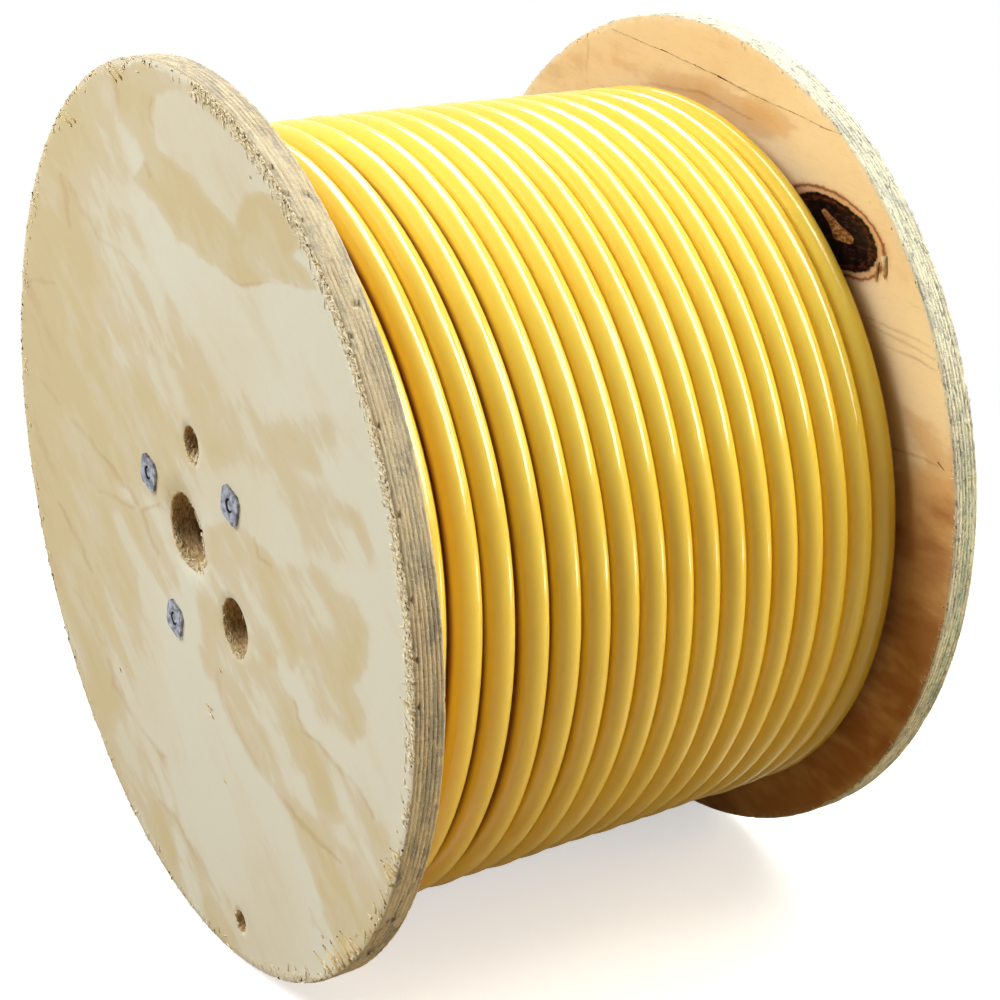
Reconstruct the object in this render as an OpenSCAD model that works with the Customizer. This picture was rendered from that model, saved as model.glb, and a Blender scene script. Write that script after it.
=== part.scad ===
// Plywood cable reel, wound with one layer of cable over its inner layers.
// The reel stands on its two rims, with its axis along +Y and the floor at z = 0.

/* [Flanges] */
// Outer diameter of both plywood flanges
flange_d = 508; // [440:1:640]
// Thickness of one flange
flange_t = 16; // [14:0.5:25]
// Clear width between the flanges
traverse = 314; // [310:1:420]
// Number of veneers in the plywood
ply_count = 7; // [5:2:11]
// Depth of the open glue lines on the rim
glue_line_depth = 0.5; // [0.2:0.1:1]
// Width of one open glue line
glue_line_w = 0.5; // [0.3:0.1:0.8]
// Chamfer on the rim's two edges
rim_chamfer = 0.8; // [0.3:0.1:2]

/* [Drilled holes] */
// Diameter of the arbor hole, on the reel's axis
arbor_d = 40; // [30:0.5:60]
// Diameter of the large drive hole
drive_d = 31; // [20:0.5:36]
// Distance of the drive hole from the axis
drive_r = 69.5; // [60:0.5:76]
// Angle of the drive hole, from +X towards +Z
drive_angle = -32; // [-50:1:-15]
// Diameter of the small drive hole
pilot_d = 19; // [12:0.5:26]
// Distance of the small drive hole from the axis
pilot_r = 55.5; // [50:0.5:80]
// Angle of the small drive hole
pilot_angle = 74; // [55:1:120]
// Diameter of the hole near the near flange's rim, for tying down a cable end
tie_hole_d = 13; // [6:0.5:15]
// Width of the wood between the tie hole's centre and the rim
tie_hole_inset = 25.5; // [12:0.5:32]
// Angle of the tie hole
tie_hole_angle = -79; // [-180:1:180]

/* [Drum] */
// Outside diameter of the fibre drum
drum_od = 203; // [196:1:230]
// Wall of the fibre drum
drum_wall = 9; // [5:0.5:10]
// Depth of the groove in each flange that holds the drum
drum_groove = 5; // [3:0.5:8]
// Clearance round the drum in its grooves
drum_fit = 0.15; // [0.1:0.05:0.4]

/* [Tie bolts] */
// Diameter of a tie bolt's shank
bolt_d = 7.9; // [6:0.1:9]
// Diameter of a tie bolt's domed head
bolt_head_d = 19; // [16:0.5:22]
// Height of a tie bolt's domed head
bolt_head_h = 4.4; // [3:0.1:6]
// Length of the square neck under the head
bolt_neck_h = 5; // [3:0.5:8]
// Drop of the bolt's end below the face of the T-nut's plate
bolt_end_drop = 0.6; // [0:0.1:5]
// Chamfer round the bolt's end
bolt_end_chamfer = 1.2; // [0.4:0.1:2]
// Radial clearance of the shank in the wood
bolt_hole_fit = 0.3; // [0.1:0.1:0.8]

/* [Tie bolt places] */
// The bolts are drilled by eye. Distance of tie bolt 1 from the axis
bolt_1_r = 49.5; // [44:0.5:56]
// Distance of tie bolt 2 from the axis
bolt_2_r = 71.5; // [60:0.5:76]
// Distance of tie bolt 3 from the axis
bolt_3_r = 64.5; // [50:0.5:76]
// Angle of tie bolt 1, from +X towards +Z
bolt_1_angle = 157; // [140:0.5:180]
// Angle of tie bolt 2
bolt_2_angle = 27.5; // [15:0.5:40]
// Angle of tie bolt 3
bolt_3_angle = -109.5; // [-130:0.5:-95]

/* [T-nuts] */
// Diameter of a T-nut's round plate
nut_plate_d = 22.2; // [19:0.1:26]
// Thickness of the plate and its prongs
nut_plate_t = 1.6; // [1:0.1:2]
// Outside diameter of the threaded barrel
nut_barrel_d = 10.4; // [10.2:0.1:12]
// Depth of the barrel below the plate
nut_barrel_h = 9; // [6:0.5:12]
// Width of one prong
nut_prong_w = 3.4; // [2.5:0.1:4]
// Length of one prong below the plate
nut_prong_h = 7; // [4:0.5:9]
// Turn of the T-nuts' corners, from +X towards +Z
nut_turn = 27; // [0:1:89]
// Clearance round barrel, prongs and thread
nut_fit = 0.1; // [0.05:0.05:0.2]

/* [Cable] */
// Outside diameter of the cable
cable_d = 16.8; // [14:0.1:17.2]
// Outside radius of the wound cable
winding_r = 220; // [180:1:230]
// Number of turns in the outer layer
turns = 17; // [8:1:17]
// Gap between two turns that lie tight
tight_gap = 0.5; // [0.5:0.1:1]
// Gap between two turns near the near flange, where the layer has slackened
loose_gap = 2.2; // [0.5:0.1:3]
// Number of gaps that have slackened
loose_gaps = 3; // [0:1:6]
// Drop of the heavy winding below the reel's axis
winding_sag = 7; // [0:0.5:9]
// Clearance between the winding and what it lies on
layer_gap = 0.3; // [0.2:0.1:0.6]

/* [Cable ends] */
// Angle by which the inner end dives to the layer below
dive_angle = 45; // [42:1:50]
// Bend radius of that dive
dive_bend_r = 55; // [50:1:70]
// Length of the straight outer end
tail_l = 60; // [56:1:75]
// Distance by which the outer end leans towards the far flange
tail_shift = 3; // [2.8:0.1:4]
// Wire diameter of the staple that holds the outer end
staple_d = 2.5; // [2:0.1:2.8]
// Depth of the staple's legs in the far flange
staple_bite = 10; // [6:0.5:11]
// Clearance between the staple and the cable
staple_fit = 0.2; // [0.1:0.1:0.4]

/* [Hidden] */
$fn = 96;

flange_r = flange_d / 2;
// Outer faces of the two flanges, along the axis from the reel's middle
outer_face = traverse / 2 + flange_t;

// Angle and distance of each tie bolt
bolt_places = [[bolt_1_angle, bolt_1_r], [bolt_2_angle, bolt_2_r], [bolt_3_angle, bolt_3_r]];

// Cuts run past the faces by this much, and joined shapes into each other by the other
over = 1;
weld = 0.01;
full_turn = 360;

// Cross-section of the cable's tube: a hexagon with its corners along the axis
sides = 6;
rings_per_turn = 24;
ring_step = full_turn / rings_per_turn;
cable_r = cable_d / 2;
flat_r = cable_r * cos(180 / sides);

// Path of the outer layer, in degrees round the winding. Each turn lies flat
// round the front, and crosses over to the next one at the back.
turn_r = winding_r - cable_r;
first_angle = -120;
cross_start = 75;
cross_end = 240;
last_angle = cross_start + full_turn * (turns - 1);
ring_count = (last_angle - first_angle) / ring_step;
lean_angle = 90;

// Space that the turns fill along the axis, centred between the flanges
function gap_after(k) = k < loose_gaps ? loose_gap : tight_gap;
function turns_before(k) = k <= 0 ? 0 : turns_before(k - 1) + cable_d + gap_after(k - 1);
layer_w = turns_before(turns - 1);
function turn_z(k) = turns_before(k) - layer_w / 2;

// Eases from 0 to 1 as t goes from 0 to 1
function ease(t) = let (u = min(1, max(0, t))) u * u * (3 - 2 * u);

function path_z(a) =
    let (k = min(turns - 1, max(0, floor((a - cross_start) / full_turn) + 1)),
         before = max(0, k - 1),
         crossed = ease((a - cross_start - full_turn * (k - 1)) / (cross_end - cross_start)),
         lean = ease((a - last_angle + lean_angle) / lean_angle))
    turn_z(before) + (turn_z(k) - turn_z(before)) * crossed + tail_shift * lean;

// A ring of the tube round centre c, whose outward direction has the angle a
function ring(c, a) = [for (i = [0 : sides - 1])
    let (b = full_turn / sides * (i + 0.5))
    c + cable_r * [cos(b) * cos(a), cos(b) * sin(a), sin(b)]];

function on_turn(a, r, z) = [r * cos(a), r * sin(a), z];

// The inner end bends inward round this centre, then runs straight to its seat
dive_centre = on_turn(first_angle, turn_r - dive_bend_r, turn_z(0));
function dive_point(f) = dive_centre + dive_bend_r * [cos(first_angle - f), sin(first_angle - f), 0];
dive_steps = 3;
dive_end = first_angle - dive_angle;
dive_seat = dive_point(dive_angle) + cable_d * [sin(dive_end), -cos(dive_end), 0];

// The outer end leaves the winding along its tangent
tail_start = on_turn(last_angle, turn_r, path_z(last_angle));
tail_dir = [-sin(last_angle), cos(last_angle), 0];
tail_steps = 3;
tail_z = tail_start[2];

rings = concat(
    [ring(dive_seat, dive_end)],
    [for (i = [dive_steps : -1 : 1])
        ring(dive_point(dive_angle * i / dive_steps), first_angle - dive_angle * i / dive_steps)],
    [for (i = [0 : ring_count])
        let (a = first_angle + i * ring_step) ring(on_turn(a, turn_r, path_z(a)), a)],
    [for (i = [1 : tail_steps]) ring(tail_start + tail_dir * tail_l * i / tail_steps, last_angle)]);

// Least gap between the tube and its next turn, over the corners of facing rings
first_full_ring = dive_steps + 1;
gaps = [for (i = [first_full_ring : len(rings) - rings_per_turn - 2], p = rings[i],
    j = [-1 : 1], q = rings[i + rings_per_turn + j]) norm(p - q)];
echo("Least gap between turns of the outer layer, mm", min(gaps));

// The inner layers end below the flats of the outer layer's straight chords
core_r = (turn_r - flat_r) * cos(ring_step / 2) - layer_gap;

// Puts the reel's axis along +Y, with the middle of the drum above the origin
module on_axis(drop = 0) {
    translate([0, 0, flange_r - drop]) rotate([-90, 0, 0]) children();
}

// Moves to a place on a flange, by its angle from +X towards +Z
module at(angle, r) {
    rotate([0, 0, -angle]) translate([r, 0, 0]) children();
}

// Places a T-nut on the near flange's outer face, all of them turned the same way
module nut_at(place) {
    at(place[0], place[1]) rotate([0, 0, place[0] - nut_turn]) translate([0, 0, -outer_face]) children();
}

// A disc of plywood with its inner face at z = 0, open glue lines and a drum groove
module flange_blank() {
    ply = flange_t / ply_count;
    edge = concat([[flange_r - rim_chamfer, 0], [flange_r, rim_chamfer]],
        [for (i = [1 : ply_count - 1], s = [-1 : 1])
            [flange_r - (s == 0 ? glue_line_depth : 0), ply * i + s * glue_line_w / 2]],
        [[flange_r, flange_t - rim_chamfer], [flange_r - rim_chamfer, flange_t]]);
    difference() {
        rotate_extrude() polygon(concat([[0, 0]], edge, [[0, flange_t]]));
        translate([0, 0, -over]) difference() {
            cylinder(d = drum_od + 2 * drum_fit, h = drum_groove + drum_fit + over);
            cylinder(d = drum_od - 2 * drum_wall - 2 * drum_fit, h = drum_groove + 2 * over);
        }
        through_hole(0, 0, arbor_d);
        through_hole(drive_angle, drive_r, drive_d);
        through_hole(pilot_angle, pilot_r, pilot_d);
        for (p = bolt_places) through_hole(p[0], p[1], bolt_d + 2 * bolt_hole_fit);
    }
}

module through_hole(angle, r, d) {
    at(angle, r) translate([0, 0, -over]) cylinder(d = d, h = flange_t + 2 * over);
}

module near_flange() {
    color([0.85, 0.78, 0.62]) on_axis() difference() {
        mirror([0, 0, 1]) translate([0, 0, traverse / 2]) difference() {
            flange_blank();
            through_hole(tie_hole_angle, flange_r - tie_hole_inset, tie_hole_d);
        }
        for (p = bolt_places) nut_at(p) nut_seat();
    }
}

module far_flange() {
    color([0.87, 0.68, 0.47]) difference() {
        on_axis() translate([0, 0, traverse / 2]) difference() {
            flange_blank();
            for (p = bolt_places) at(p[0], p[1]) translate([0, 0, flange_t - bolt_neck_h - nut_fit])
                square_bar(bolt_d + 2 * nut_fit, bolt_neck_h + over);
        }
        staple(nut_fit);
    }
}

module square_bar(w, h) {
    translate([-w / 2, -w / 2, 0]) cube([w, w, h]);
}

module drum() {
    h = traverse + 2 * drum_groove;
    color([0.72, 0.58, 0.42]) on_axis() translate([0, 0, -h / 2]) difference() {
        cylinder(d = drum_od, h = h);
        translate([0, 0, -over]) cylinder(d = drum_od - 2 * drum_wall, h = h + 2 * over);
    }
}

// A carriage bolt: its shank starts inside the T-nut, its head lies on the far flange
module tie_bolt(i) {
    dome_r = (pow(bolt_head_d / 2, 2) + pow(bolt_head_h, 2)) / (2 * bolt_head_h);
    end_z = bolt_end_drop - nut_plate_t - outer_face;
    color([0.62, 0.63, 0.65]) on_axis() at(bolt_places[i][0], bolt_places[i][1]) {
        translate([0, 0, end_z]) rotate_extrude() polygon([[0, 0], [bolt_d / 2 - bolt_end_chamfer, 0],
            [bolt_d / 2, bolt_end_chamfer], [bolt_d / 2, outer_face - end_z], [0, outer_face - end_z]]);
        translate([0, 0, outer_face - bolt_neck_h]) square_bar(bolt_d, bolt_neck_h);
        translate([0, 0, outer_face]) intersection() {
            cylinder(d = bolt_head_d, h = bolt_head_h);
            translate([0, 0, bolt_head_h - dome_r]) sphere(r = dome_r);
        }
    }
}

// Places four prongs round a T-nut, each cut and bent down from the plate's edge
module prong_places() {
    for (a = [45 : 90 : 315]) rotate([0, 0, a])
        translate([nut_plate_d / 2 - nut_prong_w, -nut_prong_w / 2, 0]) children();
}

// A T-nut with its plate's underside at z = 0 and its barrel along +z. Each prong leaves a flat on the plate
module t_nut_body() {
    difference() {
        union() {
            translate([0, 0, -nut_plate_t]) difference() {
                cylinder(d = nut_plate_d, h = nut_plate_t);
                translate([0, 0, -over]) prong_places()
                    translate([nut_plate_t, (nut_prong_w - nut_plate_d) / 2, 0])
                        cube([nut_plate_d, nut_plate_d, nut_plate_t + 2 * over]);
            }
            cylinder(d = nut_barrel_d, h = nut_barrel_h);
            prong_places() prong();
        }
        translate([0, 0, -nut_plate_t - over])
            cylinder(d = bolt_d + 2 * nut_fit, h = nut_plate_t + nut_barrel_h + 2 * over);
    }
}

// One pointed prong
module prong() {
    translate([0, nut_prong_w, 0]) rotate([90, 0, 90]) linear_extrude(nut_plate_t)
        polygon([[0, 0], [-nut_prong_w, 0], [-nut_prong_w * 0.6, nut_prong_h], [0, nut_prong_h * 0.5]]);
}

// The pocket in the wood that one T-nut is driven into
module nut_seat() {
    cylinder(d = nut_barrel_d + 2 * nut_fit, h = nut_barrel_h + nut_fit);
    prong_places() translate([-nut_fit, -nut_fit, -over])
        cube([nut_plate_t + 2 * nut_fit, nut_prong_w + 2 * nut_fit, nut_prong_h + nut_fit + over]);
}

module t_nut(i) {
    color([0.6, 0.62, 0.66]) on_axis() nut_at(bolt_places[i]) t_nut_body();
}

// The layers below, with a trench that takes the outer layer's inner end
module cable_inner_layers() {
    h = traverse - 2 * layer_gap;
    color([0.8, 0.58, 0.1]) difference() {
        on_axis(winding_sag) difference() {
            translate([0, 0, -h / 2]) cylinder(r = core_r, h = h);
            dive_trench();
        }
        on_axis() translate([0, 0, -h / 2 - over])
            cylinder(d = drum_od + 2 * layer_gap, h = h + 2 * over);
    }
}

module dive_trench() {
    floor_r = dive_bend_r - cable_r - layer_gap;
    trench_w = cable_d + 2 * layer_gap;
    depth = cable_d * 3;
    translate(dive_centre) rotate([0, 0, dive_end]) translate([0, 0, -trench_w / 2]) {
        rotate_extrude(angle = dive_angle) translate([floor_r, 0]) square([depth, trench_w]);
        translate([floor_r, -cable_d - layer_gap, 0]) cube([depth, cable_d + layer_gap + weld, trench_w]);
    }
}

// The outer layer: one unbroken tube of triangles
module cable_outer_layer() {
    n = len(rings);
    points = [for (r = rings, p = r) p];
    walls = [for (i = [0 : n - 2], k = [0 : sides - 1])
        let (a = i * sides + k, b = i * sides + (k + 1) % sides, c = a + sides, d = b + sides)
        each [[a, c, b], [b, c, d]]];
    caps = [for (k = [1 : sides - 2]) each [[0, k, k + 1],
        [(n - 1) * sides, (n - 1) * sides + k + 1, (n - 1) * sides + k]]];
    color([0.98, 0.78, 0.12]) on_axis(winding_sag)
        polyhedron(points = points, faces = concat(walls, caps));
}

// A wire staple over the cable's outer end, with both legs in the far flange
module staple(extra) {
    half = cable_r + staple_d / 2 + staple_fit;
    leg = traverse / 2 - tail_z + half + staple_bite;
    wire = staple_d / 2 + extra;
    from_end = 18;
    on_axis(winding_sag) translate(tail_start + tail_dir * (tail_l - from_end))
        rotate([0, 0, last_angle]) translate([0, 0, -half]) {
            for (s = [-1, 1]) translate([s * half, 0, 0]) {
                cylinder(r = wire, h = leg + extra);
                sphere(r = wire);
            }
            translate([-half, 0, 0]) rotate([0, 90, 0]) cylinder(r = wire, h = 2 * half);
        }
}

module end_staple() {
    color([0.66, 0.67, 0.7]) staple(0);
}

near_flange();
far_flange();
drum();
tie_bolt(0);  // tie_bolt_1
tie_bolt(1);  // tie_bolt_2
tie_bolt(2);  // tie_bolt_3
t_nut(0);  // t_nut_1
t_nut(1);  // t_nut_2
t_nut(2);  // t_nut_3
cable_inner_layers();
cable_outer_layer();
end_staple();
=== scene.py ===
"""Looks of the plywood cable reel: camera, lights, plywood flanges, wound cable and fasteners."""

import math
import random

import bpy
import numpy as np
from mathutils import Matrix, Vector, geometry, noise


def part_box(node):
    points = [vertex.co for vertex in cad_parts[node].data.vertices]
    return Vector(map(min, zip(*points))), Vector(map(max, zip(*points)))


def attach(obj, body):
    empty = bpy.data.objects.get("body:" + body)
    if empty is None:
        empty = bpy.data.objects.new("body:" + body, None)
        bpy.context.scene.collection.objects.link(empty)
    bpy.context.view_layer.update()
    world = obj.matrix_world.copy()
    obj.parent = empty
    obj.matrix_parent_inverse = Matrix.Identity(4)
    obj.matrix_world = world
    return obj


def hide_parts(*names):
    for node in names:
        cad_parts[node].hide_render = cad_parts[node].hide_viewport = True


MM = 0.001
TAU = 2 * math.pi

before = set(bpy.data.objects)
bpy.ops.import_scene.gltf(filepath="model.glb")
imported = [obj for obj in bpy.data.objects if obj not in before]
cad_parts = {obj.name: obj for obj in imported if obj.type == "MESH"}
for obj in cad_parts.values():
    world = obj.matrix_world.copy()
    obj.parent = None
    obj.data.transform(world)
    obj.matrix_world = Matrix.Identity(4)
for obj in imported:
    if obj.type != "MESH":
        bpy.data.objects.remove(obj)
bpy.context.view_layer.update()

# Sizes read from the frame
near_low, near_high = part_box("near_flange")
far_low, far_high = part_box("far_flange")
R = (near_high.z - near_low.z) / 2
AXIS_Z = R
NEAR_OUT, NEAR_IN = near_low.y, near_high.y
FAR_IN, FAR_OUT = far_low.y, far_high.y
PLY_T = NEAR_IN - NEAR_OUT

# Drilled holes, as in the part: angle in degrees from +X towards +Z, distance from the axis, diameter
ARBOR = (0, 0, 40 * MM)
DRIVE = (-32, 69.5 * MM, 31 * MM)
PILOT = (74, 55.5 * MM, 19 * MM)
TIE_HOLE = (-79, R - 25.5 * MM, 13 * MM)
BOLTS = [(157, 49.5 * MM), (27.5, 71.5 * MM), (-109.5, 64.5 * MM)]
BOLT_HOLE_D = 8.5 * MM
NUT_BARREL_D = 10.6 * MM

# Cable, as in the part
CABLE_D = 16.8 * MM
WINDING_R = 220 * MM
TURNS = 17
TIGHT_GAP = 0.5 * MM
LOOSE_GAP = 2.2 * MM
LOOSE_GAPS = 3
SAG = 7 * MM
FIRST_ANGLE = -120
CROSS_START = 75
CROSS_END = 240
LAST_ANGLE = CROSS_START + 360 * (TURNS - 1)
LEAN_ANGLE = 90
DIVE_ANGLE = 45
DIVE_BEND_R = 55 * MM
TAIL_L = 60 * MM
TAIL_SHIFT = 3 * MM

# ---------------------------------------------------------------- camera

# The camera in flange radii from the middle of the axis, and the photograph's frame in pixels
CAM_AZIMUTH = 56.526
CAM_ELEVATION = 19.496
CAM_DISTANCE = 4.7462
CAM_RIGHT = 0.2383
CAM_UP = -0.021
FOCAL_PX = 2040.5
CENTRE_PX = (560, 480)
FRAME_PX = 1000
SENSOR_MM = 36

_a, _e = math.radians(CAM_AZIMUTH), math.radians(CAM_ELEVATION)
CAM_BACK = Vector((math.sin(_a) * math.cos(_e), -math.cos(_a) * math.cos(_e), math.sin(_e)))
CAM_X = (-CAM_BACK).cross(Vector((0, 0, 1))).normalized()
CAM_Y = CAM_X.cross(-CAM_BACK)
CAM_POS = R * (CAM_BACK * CAM_DISTANCE + CAM_X * CAM_RIGHT + CAM_Y * CAM_UP) + Vector((0, 0, AXIS_Z))


def make_camera():
    data = bpy.data.cameras.new("camera")
    data.sensor_width = SENSOR_MM
    data.lens = FOCAL_PX * SENSOR_MM / FRAME_PX
    data.shift_x = (FRAME_PX / 2 - CENTRE_PX[0]) / FRAME_PX
    data.shift_y = (CENTRE_PX[1] - FRAME_PX / 2) / FRAME_PX
    data.clip_end = 50
    cam = bpy.data.objects.new("camera", data)
    turn = Matrix((CAM_X, CAM_Y, CAM_BACK)).transposed().to_4x4()
    cam.matrix_world = Matrix.Translation(CAM_POS) @ turn
    bpy.context.scene.collection.objects.link(cam)
    bpy.context.scene.camera = cam


def on_plane(px, py, y):
    """Point of the plane at y that shows at a pixel."""
    ray = -CAM_BACK + CAM_X * ((px - CENTRE_PX[0]) / FOCAL_PX) - CAM_Y * ((py - CENTRE_PX[1]) / FOCAL_PX)
    return CAM_POS + ray * ((y - CAM_POS.y) / ray.y)


# ---------------------------------------------------------------- helpers

def smooth(t):
    """Soft step from 0 to 1."""
    t = min(1.0, max(0.0, t))
    return t * t * (3 - 2 * t)


def place(angle, r, y=0.0):
    """Point at an angle from +X towards +Z, in degrees, and a distance from the reel's axis."""
    a = math.radians(angle)
    return Vector((r * math.cos(a), y, AXIS_Z + r * math.sin(a)))


def new_object(name, verts, faces, materials, face_materials=None, smooth_shade=True):
    mesh = bpy.data.meshes.new(name)
    mesh.from_pydata([tuple(v) for v in verts], [], faces)
    for m in materials:
        mesh.materials.append(m)
    if face_materials is not None:
        mesh.polygons.foreach_set("material_index", face_materials)
    mesh.polygons.foreach_set("use_smooth", [smooth_shade] * len(mesh.polygons))
    mesh.update()
    obj = bpy.data.objects.new(name, mesh)
    bpy.context.scene.collection.objects.link(obj)
    return obj


def add_attribute(obj, name, values):
    layer = obj.data.attributes.new(name, "FLOAT", "POINT")
    layer.data.foreach_set("value", values)


class Nodes:
    """Short forms for building a material's node tree."""

    def __init__(self, name):
        self.material = bpy.data.materials.new(name)
        self.material.use_nodes = True
        self.tree = self.material.node_tree
        self.shader = self.tree.nodes["Principled BSDF"]

    def link(self, a, b):
        self.tree.links.new(a, b)

    def put(self, socket, value):
        """Links an output, or sets a constant."""
        if isinstance(value, bpy.types.NodeSocket):
            self.link(value, socket)
        else:
            socket.default_value = value

    def new(self, kind, **settings):
        node = self.tree.nodes.new(kind)
        for key, value in settings.items():
            setattr(node, key, value)
        return node

    def position(self):
        return self.new("ShaderNodeTexCoord").outputs["Object"]

    def attribute(self, name):
        return self.new("ShaderNodeAttribute", attribute_name=name).outputs["Fac"]

    def scaled(self, vector, scale):
        node = self.new("ShaderNodeMapping")
        self.put(node.inputs["Vector"], vector)
        node.inputs["Scale"].default_value = scale
        return node.outputs["Vector"]

    def noise(self, vector, scale, detail=3.0, rough=0.55, distortion=0.0):
        node = self.new("ShaderNodeTexNoise")
        names = ("Vector", "Scale", "Detail", "Roughness", "Distortion")
        for key, value in zip(names, (vector, scale, detail, rough, distortion)):
            self.put(node.inputs[key], value)
        return node.outputs["Fac"]

    def math(self, operation, a, b):
        node = self.new("ShaderNodeMath", operation=operation)
        self.put(node.inputs[0], a)
        self.put(node.inputs[1], b)
        return node.outputs[0]

    def times(self, a, b):
        return self.math("MULTIPLY", a, b)

    def plus(self, a, b):
        return self.math("ADD", a, b)

    def span(self, value, low, high, to_low=0.0, to_high=1.0):
        """Soft ramp from one range to another."""
        node = self.new("ShaderNodeMapRange", interpolation_type="SMOOTHSTEP")
        self.put(node.inputs["Value"], value)
        for key, v in (("From Min", low), ("From Max", high), ("To Min", to_low), ("To Max", to_high)):
            node.inputs[key].default_value = v
        return node.outputs["Result"]

    def mix(self, fac, a, b):
        node = self.new("ShaderNodeMix", data_type="RGBA")
        self.put(node.inputs["Factor"], fac)
        self.put(node.inputs[6], a if isinstance(a, bpy.types.NodeSocket) else (*a, 1))
        self.put(node.inputs[7], b if isinstance(b, bpy.types.NodeSocket) else (*b, 1))
        return node.outputs[2]

    def coat(self, base, *layers):
        """Lays colours over a base, each as (amount, colour)."""
        for amount, color in layers:
            base = self.mix(amount, base, color)
        return base

    def mix_value(self, fac, a, b):
        node = self.new("ShaderNodeMix", data_type="FLOAT")
        for socket, value in zip(node.inputs[:1] + node.inputs[2:4], (fac, a, b)):
            self.put(socket, value)
        return node.outputs[0]

    def bump(self, height, strength, distance):
        node = self.new("ShaderNodeBump")
        node.inputs["Strength"].default_value = strength
        node.inputs["Distance"].default_value = distance
        self.put(node.inputs["Height"], height)
        self.link(node.outputs["Normal"], self.shader.inputs["Normal"])

    def finish(self, color, roughness, **constants):
        self.put(self.shader.inputs["Base Color"], color)
        self.put(self.shader.inputs["Roughness"], roughness)
        for key, value in constants.items():
            self.shader.inputs[key].default_value = value
        return self.material


def srgb(r, g, b):
    """Linear colour from 0 to 255 display values."""
    return tuple(((c / 255 + 0.055) / 1.055) ** 2.4 if c > 10 else c / 255 / 12.92 for c in (r, g, b))


# ---------------------------------------------------------------- materials

def plywood_face(name, pale, tan, deep, grain_angle, knots=False):
    """Rotary-cut veneer: pale wood with tan figure and painted shade from the mesh, fine grain, pores, and a
    frayed edge with painted shadow under its fibres.
    """
    n = Nodes(name)
    turn = n.new("ShaderNodeMapping")
    n.put(turn.inputs["Vector"], n.position())
    turn.inputs["Rotation"].default_value = (0, math.radians(grain_angle), 0)

    def grain(stretch, *settings):
        return n.noise(n.scaled(turn.outputs["Vector"], (1, 1, stretch)), *settings)

    fine = grain(6, 110, 6, 0.7)
    streak = grain(4.5, 15, 3, 0.5, 0.15)
    cloud = grain(2.2, 15, 4, 0.55, 0.25)
    broad = grain(1.5, 4.5, 3, 0.5)
    pores = grain(16, 150, 2, 0.5)
    torn = grain(5, 260, 4, 0.7)
    figure, fray = n.attribute("figure"), n.attribute("fray")
    mottle = n.plus(n.span(streak, 0.3, 0.7, -0.16, 0.16), n.span(cloud, 0.32, 0.68, -0.3, 0.3))
    level = n.plus(figure, n.times(mottle, n.span(figure, 0.05, 0.5, 0.6, 1.0)))
    outline = n.times(n.span(level, 0.28, 0.46), n.span(level, 0.7, 0.5))
    base = n.coat(
        n.mix(n.span(level, 0.05, 0.95), pale, tan),
        # Figure levels above 1 darken to the deep tone: painted shade, on the near face partly the wood's own
        # tone
        (n.span(level, 1.05, 1.9, 0.0, 0.85), deep),
        (n.times(outline, 0.1), deep),
        (n.times(n.attribute("line"), n.span(cloud, 0.38, 0.6, 0.15, 0.44)), deep),
        (n.span(broad, 0.44, 0.6, 0.0, 0.3), tan),
        (n.span(fine, 0.5, 0.8, 0.0, 0.14), deep),
        (n.span(pores, 0.68, 0.8, 0.0, 0.22), deep),
        (n.times(n.times(fray, n.span(torn, 0.35, 0.6)), 0.9), srgb(250, 240, 208)),
        # Painted shadow: darker brown under the torn fibres of the frayed edge
        (n.times(n.times(fray, n.span(torn, 0.40, 0.28)), 0.55), srgb(156, 128, 92)))
    rough = n.span(fine, 0.2, 0.8, 0.5, 0.66)
    if knots:
        base, rough = knot_colour(n, base, rough)
    n.bump(n.plus(n.times(fine, 0.5), n.times(torn, fray)), 0.3, 0.0007)
    return n.finish(base, rough, **{"Specular IOR Level": 0.3})


def knot_colour(n, base, rough):
    """Paints the knot from attributes of the far flange's mesh: amber rings, glossy bark, pale heart."""
    p = n.position()
    wide = n.times(n.math("SUBTRACT", n.noise(p, 55, 3, 0.6), 0.5), 0.30)
    narrow = n.times(n.math("SUBTRACT", n.noise(p, 340, 3, 0.6), 0.5), 0.12)
    ring = n.plus(n.attribute("knot"), n.plus(wide, narrow))
    char = n.noise(n.scaled(p, (1, 1, 2.2)), 190, 5, 0.72)
    inside = n.span(ring, 1.06, 0.99)
    amber = n.times(n.span(ring, 0.80, 0.86), n.span(ring, 0.96, 0.90))
    heart = n.plus(n.attribute("heart"), n.times(n.math("SUBTRACT", char, 0.5), 2.0))
    base = n.coat(
        base,
        (n.span(ring, 1.42, 1.08, 0.0, 0.6), srgb(196, 128, 66)),
        (n.times(n.span(ring, 1.27, 1.18, 0.0, 0.9), n.span(ring, 1.11, 1.18)), srgb(126, 62, 28)),
        (inside, n.mix(n.span(char, 0.44, 0.72), srgb(14, 9, 14), srgb(66, 36, 28))),
        (n.times(amber, n.span(char, 0.4, 0.65, 0.0, 0.6)), srgb(126, 62, 26)),
        (n.span(heart, 0.3, 0.75), n.mix(n.span(char, 0.36, 0.6), srgb(192, 142, 82), srgb(112, 62, 28))))
    return base, n.mix_value(inside, rough, 0.22)


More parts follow.
